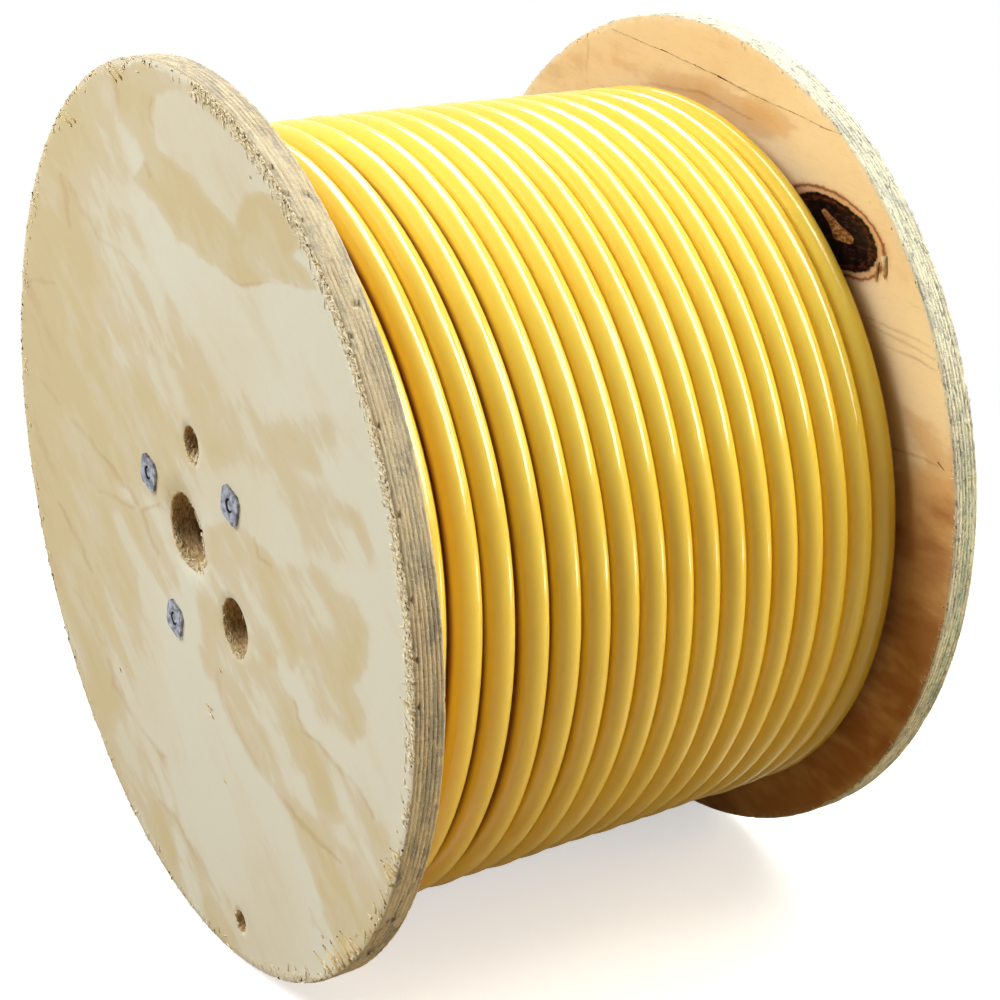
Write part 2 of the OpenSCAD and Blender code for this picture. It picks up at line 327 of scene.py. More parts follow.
def plywood_edge(name, pale, tan, dark, grey, weather, flecked, green=0.0):
    """Sawn plywood rim: uneven plies, saw marks across them, torn fibres, grey patches, and dirt that at the
    near rim's bottom is partly painted shade.
    """
    n = Nodes(name)

    def grain(stretch, *settings):
        return n.noise(n.scaled(n.position(), stretch), 1, *settings)

    bands = grain((9, 300, 9), 3, 0.6, 0.6)
    streaks = grain((60, 620, 60), 6, 0.75, 0.4)
    flecks = grain((150, 420, 150), 6, 0.75, 0.8)
    fibres = grain((420, 560, 420), 5, 0.78)
    saw = grain((620, 60, 620), 4, 0.7)
    blotch = grain((34, 110, 34), 5, 0.65, 0.7)
    patches = grain((18, 50, 18), 5, 0.65, 0.7)
    stain = n.attribute("stain")
    marks = n.times(n.span(saw, 0.5, 0.64), n.span(patches, 0.42, 0.58, 0.1, 0.7))
    spots = n.times(stain, n.span(n.plus(blotch, n.times(fibres, 0.4)), 0.72, 0.8))
    base = n.coat(
        n.mix(n.times(n.attribute("tone"), n.span(patches, 0.36, 0.6, 0.35, 1.0)), pale, tan),
        (n.span(blotch, 0.47, 0.62, 0.0, 0.75), grey),
        (n.span(bands, 0.48, 0.66, 0.0, 0.32 - 0.25 * flecked), dark),
        (n.span(streaks, 0.5, 0.72, 0.0, 0.34 - 0.25 * flecked), dark),
        (n.times(n.span(flecks, 0.54, 0.6), flecked), dark),
        (n.times(marks, n.span(n.attribute("ply"), 0.1, 0.7, 0.35, 0.75)), dark),
        (n.span(fibres, 0.46, 0.34, 0.0, 0.75), pale),
        # The stain attribute: dirt, and at the near rim's bottom partly painted shade
        (n.times(stain, 0.4), grey),
        (n.times(spots, weather), srgb(62, 56, 52)),
        (n.times(n.attribute("glue"), n.span(patches, 0.42, 0.56, 0.0, 0.7)), srgb(122, 86, 58)))
    if green:
        tint = n.times(n.attribute("green"), n.span(flecks, 0.42, 0.56, 0.2, 1.0))
        base = n.mix(n.times(tint, green), base, srgb(110, 165, 125))
    n.bump(n.plus(n.plus(flecks, fibres), n.times(saw, 0.6)), 0.8, 0.0012)
    return n.finish(base, 0.8, **{"Specular IOR Level": 0.2})


def torn_wood(name, light, dark, scale=160):
    """Raw fibres inside a drilled hole or along a torn edge."""
    n = Nodes(name)
    fibres = n.noise(n.scaled(n.position(), (1, 3, 1)), scale, 5, 0.7)
    base = n.mix(n.span(fibres, 0.32, 0.68), light, dark)
    n.bump(fibres, 0.8, 0.001)
    return n.finish(base, 0.85, **{"Specular IOR Level": 0.2})


def cable_jacket(name):
    """Glossy yellow sheath, faintly translucent, with drawn ridges, scuffs, and painted shade in its grooves
    between the turns.
    """
    n = Nodes(name)
    drawn = n.new("ShaderNodeCombineXYZ")
    n.link(n.attribute("along"), drawn.inputs[0])
    n.link(n.attribute("around"), drawn.inputs[1])
    ridge = n.noise(n.scaled(drawn.outputs[0], (2.5, 30, 1)), 1, 3, 0.6)
    wave = n.noise(n.scaled(drawn.outputs[0], (26, 1.2, 1)), 1, 2, 0.5)
    scuff = n.noise(n.scaled(drawn.outputs[0], (60, 9, 1)), 1, 4, 0.65)
    cloud = n.noise(n.position(), 9, 4, 0.6)
    base = n.coat(
        n.mix(n.span(cloud, 0.35, 0.65), (0.90, 0.65, 0.072), (0.88, 0.61, 0.060)),
        # Painted shade: deep orange-brown where the turns hide each other
        (n.span(n.attribute("groove"), 0.05, 0.9, 0.0, 0.85), (0.42, 0.14, 0.05)),
        (n.span(scuff, 0.62, 0.75, 0.0, 0.15), (0.60, 0.30, 0.05)))
    n.bump(n.plus(n.times(ridge, 0.16), wave), 0.12, 0.0012)
    rough = n.span(n.plus(scuff, n.times(ridge, 0.5)), 0.6, 0.95, 0.11, 0.26)
    return n.finish(base, rough, **{"Specular IOR Level": 0.34, "Subsurface Weight": 0.06,
                                    "Subsurface Radius": (0.004, 0.002, 0.0005)})


def zinc(name, bolt=False):
    """Zinc plate with a bright spangle. On a bolt, the chamfered thread is painted dark as shade round its
    bright end face.
    """
    n = Nodes(name)
    p = n.position()
    spangle = n.noise(p, 300, 4, 0.6)
    base = n.mix(n.span(spangle, 0.38, 0.62), srgb(166, 169, 180), srgb(104, 107, 118))
    if bolt:
        facing = n.new("ShaderNodeSeparateXYZ")
        n.link(n.new("ShaderNodeTexCoord").outputs["Normal"], facing.inputs[0])
        # Painted shade: the chamfer, facing along the bolt, darkens to a ring
        painted_chamfer_shade = n.times(n.span(facing.outputs[1], -0.95, -0.8), n.span(facing.outputs[1], 0.1, -0.2))
        base = n.mix(painted_chamfer_shade, base, srgb(58, 58, 66))
    n.bump(spangle, 0.12, 0.0005)
    return n.finish(base, n.span(n.noise(p, 150, 3), 0.36, 0.62, 0.2, 0.45), Metallic=0.9)


def fibre_board(name):
    """Brown pressed board of the drum."""
    n = Nodes(name)
    fibres = n.noise(n.scaled(n.position(), (1, 6, 1)), 60, 5, 0.65)
    base = n.mix(n.span(fibres, 0.3, 0.7), srgb(150, 116, 80), srgb(112, 82, 54))
    n.bump(fibres, 0.4, 0.0005)
    return n.finish(base, 0.85)


def copper_strand(name):
    """Bright copper of the cut strands."""
    n = Nodes(name)
    tone = n.noise(n.position(), 300, 3)
    base = n.mix(n.span(tone, 0.3, 0.7), srgb(214, 132, 92), srgb(160, 84, 54))
    return n.finish(base, n.span(tone, 0.3, 0.7, 0.25, 0.4), Metallic=1.0)


near_face = plywood_face("near_face", srgb(224, 221, 202), srgb(210, 194, 152), srgb(186, 154, 108), -35)
near_back = plywood_face("near_back", srgb(222, 200, 160), srgb(214, 170, 112), srgb(176, 126, 76), 20)
far_face = plywood_face("far_face", srgb(244, 222, 180), srgb(224, 182, 126), srgb(158, 96, 44), -6, True)
far_back = plywood_face("far_back", srgb(216, 206, 172), srgb(206, 178, 128), srgb(178, 140, 92), -50)
near_edge = plywood_edge("near_edge", srgb(234, 218, 180), srgb(222, 196, 158), srgb(166, 142, 110),
                         srgb(188, 180, 158), 0.6, 0.25)
far_edge = plywood_edge("far_edge", srgb(255, 250, 222), srgb(244, 234, 200), srgb(104, 108, 108),
                        srgb(206, 204, 186), 0.4, 0.85, 0.6)
hole_wood = torn_wood("hole_wood", srgb(236, 206, 152), srgb(156, 116, 70), 320)
lip_wood = torn_wood("lip_wood", srgb(246, 230, 184), srgb(206, 172, 112), 300)
pale_fibre = torn_wood("pale_fibre", srgb(255, 246, 218), srgb(240, 220, 174), 300)
bare_wood = torn_wood("bare_wood", srgb(238, 218, 164), srgb(212, 182, 122), 220)
dark_slit = torn_wood("dark_slit", srgb(104, 74, 42), srgb(58, 38, 22), 300)
yellow = cable_jacket("yellow_jacket")
steel = zinc("zinc_steel")
bolt_steel = zinc("bolt_steel", bolt=True)
fibre = fibre_board("fibre_board")
copper = copper_strand("copper_strand")


# ---------------------------------------------------------------- veneer figure

# Outlines and strokes of the face veneers' figure, in pixels of the photograph's frame.
# Darker wood in the near face, partly painted shade where the depth passes 1: (depth of tone, softness of the
# edge, outline)
NEAR_TAN_AND_SHADE_PX = [
    (0.85, 12, [(112, 80), (117, 100), (120, 120), (133, 140), (145, 160), (133, 178), (152, 200),
        (167, 217), (180, 240), (197, 257), (223, 272), (240, 285), (270, 280), (297, 285), (316, 288),
        (309, 274), (287, 255), (300, 246), (297, 237), (287, 213), (273, 197), (260, 193), (247, 197),
        (240, 217), (239, 234), (233, 227), (220, 210), (207, 200), (193, 180), (177, 170), (167, 160),
        (157, 150), (150, 133), (150, 110), (155, 97), (167, 90), (183, 93), (200, 105), (220, 122),
        (237, 137), (249, 152), (252, 144), (233, 120), (213, 96), (187, 76), (160, 66), (133, 62),
        (112, 72)]),
    (0.55, 36, [(36, 130), (53, 152), (67, 183), (83, 213), (100, 237), (120, 250), (137, 270), (160, 297),
        (180, 317), (203, 340), (220, 363), (233, 383), (253, 403), (273, 417), (310, 420), (345, 424),
        (367, 437), (373, 467), (374, 500), (368, 547), (367, 567), (340, 560), (320, 547), (303, 530),
        (287, 510), (275, 488), (262, 470), (245, 460), (228, 458), (205, 470), (185, 520), (137, 502),
        (117, 473), (97, 450), (73, 420), (57, 403), (40, 380), (25, 363), (18, 280), (26, 190)]),
    (0.42, 30, [(80, 470), (97, 462), (120, 480), (150, 510), (190, 570), (186, 575), (160, 607),
        (147, 590), (143, 567), (148, 557), (140, 537), (127, 517), (107, 512), (90, 494)]),
    (0.7, 18, [(193, 560), (197, 613), (200, 647), (203, 670), (217, 693), (227, 717), (240, 743),
        (253, 767), (277, 790), (290, 817), (297, 843), (310, 863), (317, 890), (321, 912), (307, 908),
        (313, 927), (327, 937), (340, 990), (400, 900), (396, 880), (390, 847), (373, 820), (357, 787),
        (340, 767), (320, 747), (303, 727), (297, 713), (293, 700), (280, 687), (273, 670), (280, 660),
        (290, 672), (300, 661), (307, 680), (317, 707), (333, 727), (352, 743), (363, 732), (360, 713),
        (347, 687), (366, 664), (367, 653), (363, 627), (350, 603), (333, 587), (320, 572), (300, 563),
        (277, 562), (257, 547), (244, 530), (225, 520), (200, 530)]),
    (0.65, 28, [(40, 540), (60, 577), (87, 617), (100, 647), (110, 663), (117, 687), (130, 710), (143, 730),
        (165, 757), (163, 780), (170, 800), (183, 823), (197, 850), (210, 873), (220, 897), (225, 923),
        (233, 947), (200, 960), (90, 780), (50, 640)]),
    (0.4, 28, [(85, 592), (110, 596), (132, 612), (128, 630), (100, 622)]),
    (0.35, 22, [(52, 496), (62, 500), (92, 560), (96, 590), (84, 566)]),
    # Partly the wood's own darker tone, partly painted shade: a wide soft darkening along the face's left,
    # where less light falls
    (1.5, 190, [(-40, 60), (60, 90), (80, 200), (120, 420), (90, 620), (110, 860), (20, 800), (-60, 400)]),
]
# Pale streaks inside it: (softness, outline)
NEAR_PALE_PX = [
    (20, [(116, 486), (132, 486), (144, 506), (124, 501)]),
    (24, [(284, 775), (302, 776), (322, 814), (300, 810)]),
    (20, [(322, 812), (344, 826), (352, 852), (332, 838)]),
    (16, [(183, 560), (193, 566), (197, 640), (188, 600)]),
    (26, [(296, 468), (332, 468), (354, 502), (328, 504)]),
]
# Thin dark lines, as (column, row, width). Each list is one stroke that runs through its points.
NEAR_LINES_PX = [
    [(113, 80, 4), (117, 98, 5), (121, 120, 3)], [(151, 98, 2), (149, 118, 3), (152, 136, 2)],
    [(145, 160, 3), (150, 176, 3)],
    [(224, 273, 2), (240, 286, 3), (270, 281, 2), (297, 286, 3), (316, 289, 1)],
    [(67, 183, 3), (83, 213, 5), (100, 237, 4), (120, 252, 4), (137, 272, 2)],
    [(62, 176, 5), (66, 202, 6), (70, 226, 3)],
    [(73, 420, 3), (84, 434, 5), (97, 450, 4), (117, 473, 4), (138, 504, 3)],
    [(83, 455, 3), (90, 475, 5), (100, 492, 4), (134, 508, 3)], [(40, 380, 3), (50, 392, 4), (60, 405, 2)],
    [(253, 537, 2), (260, 557, 3), (271, 567, 2)], [(299, 568, 2), (304, 578, 3), (312, 592, 2)],
    [(217, 670, 4), (222, 695, 5), (232, 722, 5), (244, 746, 4), (258, 769, 5), (277, 790, 5),
        (292, 812, 4), (302, 826, 5), (320, 842, 4), (341, 864, 2)],
    [(294, 702, 2), (303, 730, 3), (320, 747, 3), (340, 767, 5), (357, 787, 4), (373, 818, 3)],
    [(108, 660, 4), (116, 687, 5), (130, 710, 5), (144, 731, 4), (164, 757, 4)],
    [(185, 838, 4), (194, 852, 7), (204, 868, 4), (220, 900, 3)],
    [(160, 800, 3), (176, 820, 4), (184, 836, 3)], [(26, 280, 4), (42, 281, 5), (54, 282, 2)],
    [(58, 505, 2), (72, 527, 4), (84, 552, 3), (91, 572, 2)], [(76, 590, 2), (92, 620, 3), (104, 645, 2)],
    [(172, 500, 2), (142, 510, 4), (150, 540, 4), (158, 556, 2)],
    [(307, 908, 2), (314, 925, 4), (326, 940, 2)], [(140, 330, 4), (158, 360, 6), (168, 390, 4)],
]
# Tan figure of the far face, and painted shade, in the same form
FAR_TAN_AND_SHADE_PX = [
    (0.7, 26, [(536, 62), (556, 58), (584, 66), (604, 90), (588, 96), (560, 78)]),
    (0.5, 20, [(602, 38), (630, 44), (664, 62), (640, 62), (612, 52)]),
    (0.65, 24, [(618, 60), (662, 66), (704, 86), (752, 98), (786, 122), (812, 160), (786, 146), (742, 118),
        (690, 108), (650, 92)]), (0.45, 20, [(886, 262), (914, 282), (926, 300), (900, 290)]),
    (0.6, 20, [(896, 402), (932, 430), (952, 476), (958, 530), (938, 512), (922, 458)]),
    (0.7, 30, [(900, 540), (926, 560), (900, 660), (850, 740), (780, 790), (800, 740), (870, 650)]),
    # Painted shadow: the winding's shade over the far face's lower right
    (2.6, 170, [(860, 530), (985, 505), (985, 700), (920, 820), (760, 860), (600, 860), (600, 760),
        (780, 760), (850, 690)]),
]
FAR_PALE_PX = [
    (8, [(884, 372), (912, 378), (930, 398), (904, 396)]),
    (10, [(700, 40), (760, 60), (800, 96), (740, 76)]),
]
FAR_LINES_PX = [
    [(588, 40, 1.5), (587, 80, 1.5)], [(600, 98, 1), (650, 84, 3), (700, 92, 3), (752, 120, 1)],
    [(867, 318, 1), (900, 332, 3), (941, 352, 1)], [(870, 326, 1), (904, 342, 3), (941, 364, 1)],
    [(880, 342, 1), (910, 356, 3), (942, 374, 1)], [(906, 300, 1), (934, 316, 3)],
    [(890, 448, 1), (915, 456, 3), (944, 468, 1)], [(906, 584, 6), (944, 602, 9)],
    [(900, 616, 5), (940, 632, 11)], [(896, 648, 8), (936, 662, 5)], [(884, 672, 6), (926, 694, 12)],
    [(866, 700, 8), (916, 724, 6)], [(850, 726, 6), (900, 746, 11)],
]
# Cracks in the far face, as (column, row, width in mm)
FAR_CRACKS_PX = [
    [(612, 29, 0.4), (640, 41, 0.6), (668, 53, 0.7), (694, 65, 0.8), (718, 76, 0.9), (738, 87, 0.9),
        (756, 96, 0.8), (778, 106, 0.8), (800, 116, 0.7), (820, 126, 0.8), (840, 134, 0.4)],
    [(934, 456, 0.5), (938, 462, 0.9), (944, 470, 0.5)],
]
# How far noise shifts the near and the far face's figure, and how fast a dark outline's rim fades inwards
FIGURE_WARP_PX = 3
FAR_WARP_PX = 1.5
FIGURE_RIM_PX = 12

# The knot in the far flange's inner face, in the photograph's frame
KNOT_PX = (833, 232)
KNOT_LONG_PX = 51
KNOT_SHORT_PX = 28
KNOT_TURN = math.radians(40)
KNOT_HEART_PX = [[(823, 211, 5), (831, 221, 7), (839, 234, 14), (849, 240, 9)]]
# Resin and torn bark at the knot's lower right: (from column, row, to column, row, width and lift in mm,
# material slot of the far flange: the torn lip's wood or the drilled wall's)
KNOT_CHIPS_PX = [(885, 256, 886, 280, 5.0, 1.2, 6), (878, 262, 877, 283, 3.2, 0.8, 3)]


def pixels(points):
    """Columns and rows at which points of the object show, as an array."""
    d = np.asarray([tuple(p) for p in points]) - np.asarray(CAM_POS)
    depth = -(d @ np.asarray(CAM_BACK))
    return np.stack((CENTRE_PX[0] + FOCAL_PX * (d @ np.asarray(CAM_X)) / depth,
                     CENTRE_PX[1] - FOCAL_PX * (d @ np.asarray(CAM_Y)) / depth), axis=1)


def stroke_amount(at, strokes, softness):
    """How strongly soft strokes cover each pixel position, from 0 to 1."""
    amount = np.zeros(len(at))
    for stroke in strokes:
        for (x0, y0, w0), (x1, y1, w1) in zip(stroke, stroke[1:]):
            start, run = np.array((x0, y0)), np.array((x1 - x0, y1 - y0))
            t = np.clip((at - start) @ run / (run @ run), 0, 1)
            off = np.linalg.norm(at - start - t[:, None] * run, axis=1)
            half = (w0 + t * (w1 - w0)) / 2
            amount = np.maximum(amount, np.clip((half * (1 + softness) - off) / (half * 2 * softness), 0, 1))
    return amount * amount * (3 - 2 * amount)


def outline_depth(at, outline):
    """Distance inside a closed outline for each pixel position, below 0 outside it."""
    nearest, inside = np.full(len(at), 1e9), np.zeros(len(at), bool)
    for start, end in zip(outline, outline[1:] + outline[:1]):
        (x0, y0), (x1, y1) = start, end
        run = np.array((x1 - x0, y1 - y0), float)
        t = np.clip((at - (x0, y0)) @ run / (run @ run), 0, 1)
        nearest = np.minimum(nearest, np.linalg.norm(at - (x0, y0) - t[:, None] * run, axis=1))
        if y0 != y1:
            beside = at[:, 0] < x0 + (at[:, 1] - y0) * (x1 - x0) / (y1 - y0)
            inside ^= ((at[:, 1] < y0) != (at[:, 1] < y1)) & beside
    return np.where(inside, nearest, -nearest)


def soft_step(value):
    value = np.clip(value, 0, 1)
    return value * value * (3 - 2 * value)


def photo_figure(points, tan, pale, lines, ground, warp_px):
    """Figure, with its painted shade, and thin lines of a face that the photograph shows."""
    at = pixels(points)
    warp = np.array([noise.noise_vector(Vector((x / 26, y / 26, ground)))[:2]
                     + noise.noise_vector(Vector((x / 8, y / 8, ground)))[:2] for x, y in at])
    at = at + warp_px * (warp[:, :2] + 0.45 * warp[:, 2:])
    figure = np.full(len(at), ground)
    for depth, soft, outline in tan:
        inside = outline_depth(at, outline)
        rich = 0.7 + 0.3 * np.exp(-np.maximum(inside, 0) / FIGURE_RIM_PX)
        figure = np.maximum(figure, ground + (depth - ground) * rich * soft_step(0.5 + inside / soft))
    for soft, outline in pale:
        figure = figure * (1 - 0.75 * soft_step(0.5 + outline_depth(at, outline) / soft))
    return figure, stroke_amount(at, lines, 0.9)


def veneer_figure(points, seed):
    """Figure of a face that the photograph doesn't show: long warped bands across the sheet."""
    turn = Matrix.Rotation(0.6 + seed, 2)
    figure = []
    for p in points:
        u, v = turn @ Vector((p.x, p.z - AXIS_Z))
        bend = noise.fractal(Vector((u * 5, v * 2, seed)), 1.0, 2.0, 3) * 0.9
        figure.append(0.5 + 0.5 * math.sin(u * 32 + bend * 5))
    figure = np.array(figure) ** 2
    return figure, np.clip(1 - abs(figure - 0.55) / 0.08, 0, 1) * 0.5


def knot_distance(points):
    """Distance from the knot's middle, 1 at its dark rim, and how far a point lies in its pale heart."""
    at = pixels(points)
    off = at - np.array(KNOT_PX)
    u = off[:, 0] * math.cos(KNOT_TURN) + off[:, 1] * math.sin(KNOT_TURN)
    v = off[:, 1] * math.cos(KNOT_TURN) - off[:, 0] * math.sin(KNOT_TURN)
    return np.hypot(u / KNOT_LONG_PX, v / KNOT_SHORT_PX), stroke_amount(at, KNOT_HEART_PX, 0.35)


# ---------------------------------------------------------------- flanges

PLY_COUNT = 7
RIM_SEGMENTS = 1440
FACE_STEP = 2.6 * MM
KNOT_STEP = 1.0 * MM
LINE_STEP = 1.1 * MM
LINE_MARGIN_PX = 4
RIM_CHAMFER = 0.8 * MM
GLUE_DEPTH = 0.25 * MM
GLUE_W = 0.35 * MM
HOLE_ROWS = 9
# Clear wood along the rim and round each hole, and how far the fine mesh round the knot reaches
RIM_MARGIN = 4.5 * MM
LIP_MARGIN = 1.2 * MM
KNOT_REACH = 46 * MM
KNOT_SUNK = 0.7 * MM
NO_KNOT = 9.0
# Material slots of a flange: its two faces, its rim, and five kinds of torn wood
RIM, WALL, PALE, SLIT, LIP, BARE = range(2, 8)


def strip_faces(first, rings, sides, loop_rings=False, loop_sides=True, flip=False):
    """Quads between rings of vertices that follow each other from an index on."""
    faces = []
    for i in range(rings if loop_rings else rings - 1):
        for m in range(sides if loop_sides else sides - 1):
            here, ahead = first + i * sides, first + (i + 1) % rings * sides
            k = (m + 1) % sides
            quad = [here + m, here + k, ahead + k, ahead + m]
            faces.append([quad[0], *quad[:0:-1]] if flip else quad)
    return faces


def near_strokes(points, strokes, margin):
    """Whether strokes pass within a margin of each point of the object."""
    wide = [[(x, y, w + 2 * margin) for x, y, w in stroke] for stroke in strokes]
    return stroke_amount(pixels(points), wide, 0.01) > 0


class Shell:
    """Gathers vertices with their attributes, and faces with their material slots, into one mesh."""

    FIELDS = ("figure", "line", "knot", "heart", "fray", "ply", "tone", "glue", "stain", "green")

    def __init__(self):
        self.verts, self.faces, self.slots = [], [], []
        self.fields = {name: [] for name in self.FIELDS}

    def add(self, verts, faces, slot, **fields):
        """Adds vertices and faces, which number the new vertices from 0. Returns the first one's index."""
        first = len(self.verts)
        self.verts += verts
        self.faces += [[first + i for i in face] for face in faces]
        self.slots += [slot] * len(faces)
        for name in self.FIELDS:
            value = fields.get(name, 0.0)
            self.fields[name] += list(value) if hasattr(value, "__len__") else [value] * len(verts)
        return first

    def join(self, faces, slot):
        self.faces += faces
        self.slots += [slot] * len(faces)

    def build(self, name, materials):
        obj = new_object(name, self.verts, self.faces, materials, self.slots)
        for field in self.FIELDS:
            add_attribute(obj, field, self.fields[field])
        return obj


class Hole:
    """A drilled hole with a rough wall and torn lips, wider towards one side."""

    def __init__(self, angle, r, d, segments, tear=0.0, tear_side=225, seed=0):
        centre = place(angle, r)
        self.x, self.z = centre.x, centre.z - AXIS_Z
        self.r, self.segments, self.tear, self.seed = d / 2, segments, tear, seed
        self.tear_side = math.radians(tear_side)

    def wobble(self, a, depth, size):
        return noise.noise(Vector((math.cos(a) * size, math.sin(a) * size, depth * 220 + self.seed)))

    def torn(self, a):
        """Width of the torn lip at an angle round the hole."""
        side = max(0.0, math.cos(a - self.tear_side)) ** 2
        ragged = 0.55 + 0.9 * abs(self.wobble(a, 0.05, 5.0))
        return 0.25 * MM + self.tear * (0.12 + side) * ragged

    def lip(self, a):
        return self.r + self.torn(a)

    def wall(self, a, depth):
        rough = self.wobble(a, depth, 4.0) * 0.25 * MM
        return self.r - 0.15 * MM + rough + self.wobble(a, depth * 3, 12.0) * 0.2 * MM

    def point(self, a, radius):
        return self.x + radius * math.cos(a), self.z + radius * math.sin(a)

    def angles(self):
        return [TAU * i / self.segments for i in range(self.segments)]

    def clears(self, x, z):
        return math.hypot(x - self.x, z - self.z) > self.r + self.tear * 1.9 + LIP_MARGIN


def grid_points(step, keep, half_w, centre=(0.0, 0.0)):
    """Staggered grid of jittered points for which keep is true."""
    points = []
    rows = int(half_w / (step * 0.866)) + 1
    cols = int(half_w / step) + 1
    for j in range(-rows, rows + 1):
        for i in range(-cols, cols + 1):
            x = centre[0] + (i + 0.5 * (j % 2) + random.uniform(-0.15, 0.15)) * step
            z = centre[1] + (j * 0.866 + random.uniform(-0.15, 0.15)) * step
            if keep(x, z):
                points.append((x, z))
    return points


def rim_profile():
    """Rows of the rim from one face to the other: (share of the thickness, ply, glue line, inset)."""
    rows = []
    ply_h = PLY_T / PLY_COUNT
    for ply in range(PLY_COUNT):
        low = ply * ply_h + (RIM_CHAMFER if ply == 0 else GLUE_W)
        high = (ply + 1) * ply_h - (RIM_CHAMFER if ply == PLY_COUNT - 1 else GLUE_W)
        rows += [(y / PLY_T, ply, 0.0, 0.0) for y in (low, (low + high) / 2, high)]
        if ply < PLY_COUNT - 1:
            rows.append(((ply + 1) * ply_h / PLY_T, ply, 1.0, GLUE_DEPTH))
    return rows


RIM_ROWS = rim_profile()


def rim_wear(angle, ply, seed, chips):
    """How far a ply's edge stays inside the full radius."""
    c, s = math.cos(angle), math.sin(angle)
    broad = noise.noise(Vector((c * 9, s * 9, seed + ply * 3.1)))
    fine = noise.noise(Vector((c * 90, s * 90, seed + ply * 5.7)))
    wear = 0.10 * MM + 0.16 * MM * (1 + broad) + 0.34 * MM * max(0.0, fine)
    if ply in (0, PLY_COUNT - 1):
        wear += 0.5 * MM * max(0.0, noise.noise(Vector((c * 40, s * 40, seed + ply))) - 0.1)
    for at, width, depth, plies in chips:
        if ply in plies:
            off = (math.degrees(angle) - at + 180) % 360 - 180
            wear += depth * smooth(1 - abs(off) / width)
    return wear


def ply_tone(angle, ply, seed):
    """Tone of a ply at an angle round the rim, which the saw and the veneers' grain make uneven."""
    c, s = math.cos(angle), math.sin(angle)
    cloud = noise.noise(Vector((c * 3, s * 3, ply * 2.7 + seed)))
    return 0.5 + 0.42 * math.sin(ply * 2.4 + seed) + 0.55 * cloud


def no_green(angle, share):
    return 0.0


def face_layout(rim, holes, y, knot, lines):
    """Points and triangles of both faces, and which points lie on the rim and on each hole's lip."""
    points, loops = [], [range(RIM_SEGMENTS)]
    for a, radii in rim:
        edge_r = min(radii[0], radii[-1]) - RIM_CHAMFER
        points.append((edge_r * math.cos(a), edge_r * math.sin(a)))
    for hole in holes:
        loops.append(range(len(points), len(points) + hole.segments))
        points += [hole.point(a, hole.lip(a)) for a in hole.angles()]
    edges = [edge for loop in loops for edge in zip(loop, [*loop[1:], loop[0]])]
    knot_at = on_plane(*KNOT_PX, y)
    centre = (knot_at.x, knot_at.z - AXIS_Z)

    def open_wood(x, z):
        return math.hypot(x, z) < R - RIM_MARGIN and all(hole.clears(x, z) for hole in holes)

    def in_knot(x, z):
        return knot and math.hypot(x - centre[0], z - centre[1]) < KNOT_REACH

    if knot:
        points += grid_points(KNOT_STEP, lambda x, z: in_knot(x, z) and open_wood(x, z), KNOT_REACH, centre)
    for step, wanted in ((FACE_STEP, False), (LINE_STEP, True)):
        spread = grid_points(step, lambda x, z: open_wood(x, z) and not in_knot(x, z), R)
        close = near_strokes([(x, y, AXIS_Z + z) for x, z in spread], lines, LINE_MARGIN_PX)
        points += [at for at, is_close in zip(spread, close) if is_close == wanted]
    mesh = geometry.delaunay_2d_cdt([Vector(p) for p in points], edges, [], 1, 1e-7)
    placed, triangles, origins = mesh[0], mesh[2], mesh[3]
    index_of = {old: new for new, olds in enumerate(origins) for old in olds}
    loops = [[index_of[i] for i in loop] for loop in loops]
    hole_of = {i: hole for hole, lip in zip(holes, loops[1:]) for i in lip}

    def in_hole(tri):
        around = {hole_of.get(i) for i in tri}
        if len(around) > 1 or None in around:
            return False
        hole = around.pop()
        x = sum(placed[i].x for i in tri) / 3 - hole.x
        z = sum(placed[i].y for i in tri) / 3 - hole.z
        return math.hypot(x, z) < hole.lip(math.atan2(z, x) % TAU)

    return placed, [list(tri) for tri in triangles if not in_hole(tri)], loops


def add_faces(shell, placed, faces, ys, figures, fray, knot):
    """Adds both faces, the second one turned over, and returns the first vertex of each."""
    firsts = []
    for slot, (y, order) in enumerate(zip(ys, (1, -1))):
        verts = [Vector((p.x, y, AXIS_Z + p.y)) for p in placed]
        figure, line = figures[slot](verts)
        frayed = [fray[slot](math.hypot(p.x, p.y), math.degrees(math.atan2(p.y, p.x))) for p in placed]
        ring, heart = NO_KNOT, 0.0
        if knot and slot == 0:
            ring, heart = knot_distance(verts)
            for v, r in zip(verts, ring):
                v.y += KNOT_SUNK * smooth((1.02 - r) / 0.2) * (0.7 + 0.5 * noise.noise(v * 160))
        firsts.append(shell.add(verts, [f[::order] for f in faces], slot,
                                figure=figure, line=line, fray=frayed, knot=ring, heart=heart))
    return firsts


def add_rim(shell, rim, edge, firsts, y_low, stain, seed, green):
    """Adds the rim's plies and glue lines, closed to the faces by the chamfers."""
    verts, fields = [], {name: [] for name in ("ply", "tone", "glue", "stain", "green")}
    for a, radii in rim:
        angle = math.degrees(a)
        for (share, ply, glue, _), radius in zip(RIM_ROWS, radii):
            verts.append(Vector((radius * math.cos(a), y_low + share * PLY_T, AXIS_Z + radius * math.sin(a))))
            end_grain = math.cos(a - math.radians(35 + 90 * (ply % 2))) ** 2
            tone = min(1.0, max(0.0, ply_tone(a, ply, seed)))
            values = end_grain, tone, glue, stain(angle), green(angle, share)
            for field, value in zip(fields.values(), values):
                field.append(value)
    rows = len(RIM_ROWS)
    first = shell.add(verts, strip_faces(0, RIM_SEGMENTS, rows, True, False), RIM, **fields)
    for i, a in enumerate(edge):
        j = (i + 1) % RIM_SEGMENTS
        b = edge[j]
        low, next_low = first + i * rows, first + j * rows
        high, next_high = low + rows - 1, next_low + rows - 1
        shell.join([[firsts[0] + a, low, next_low, firsts[0] + b],
                    [firsts[1] + b, next_high, high, firsts[1] + a]], RIM)


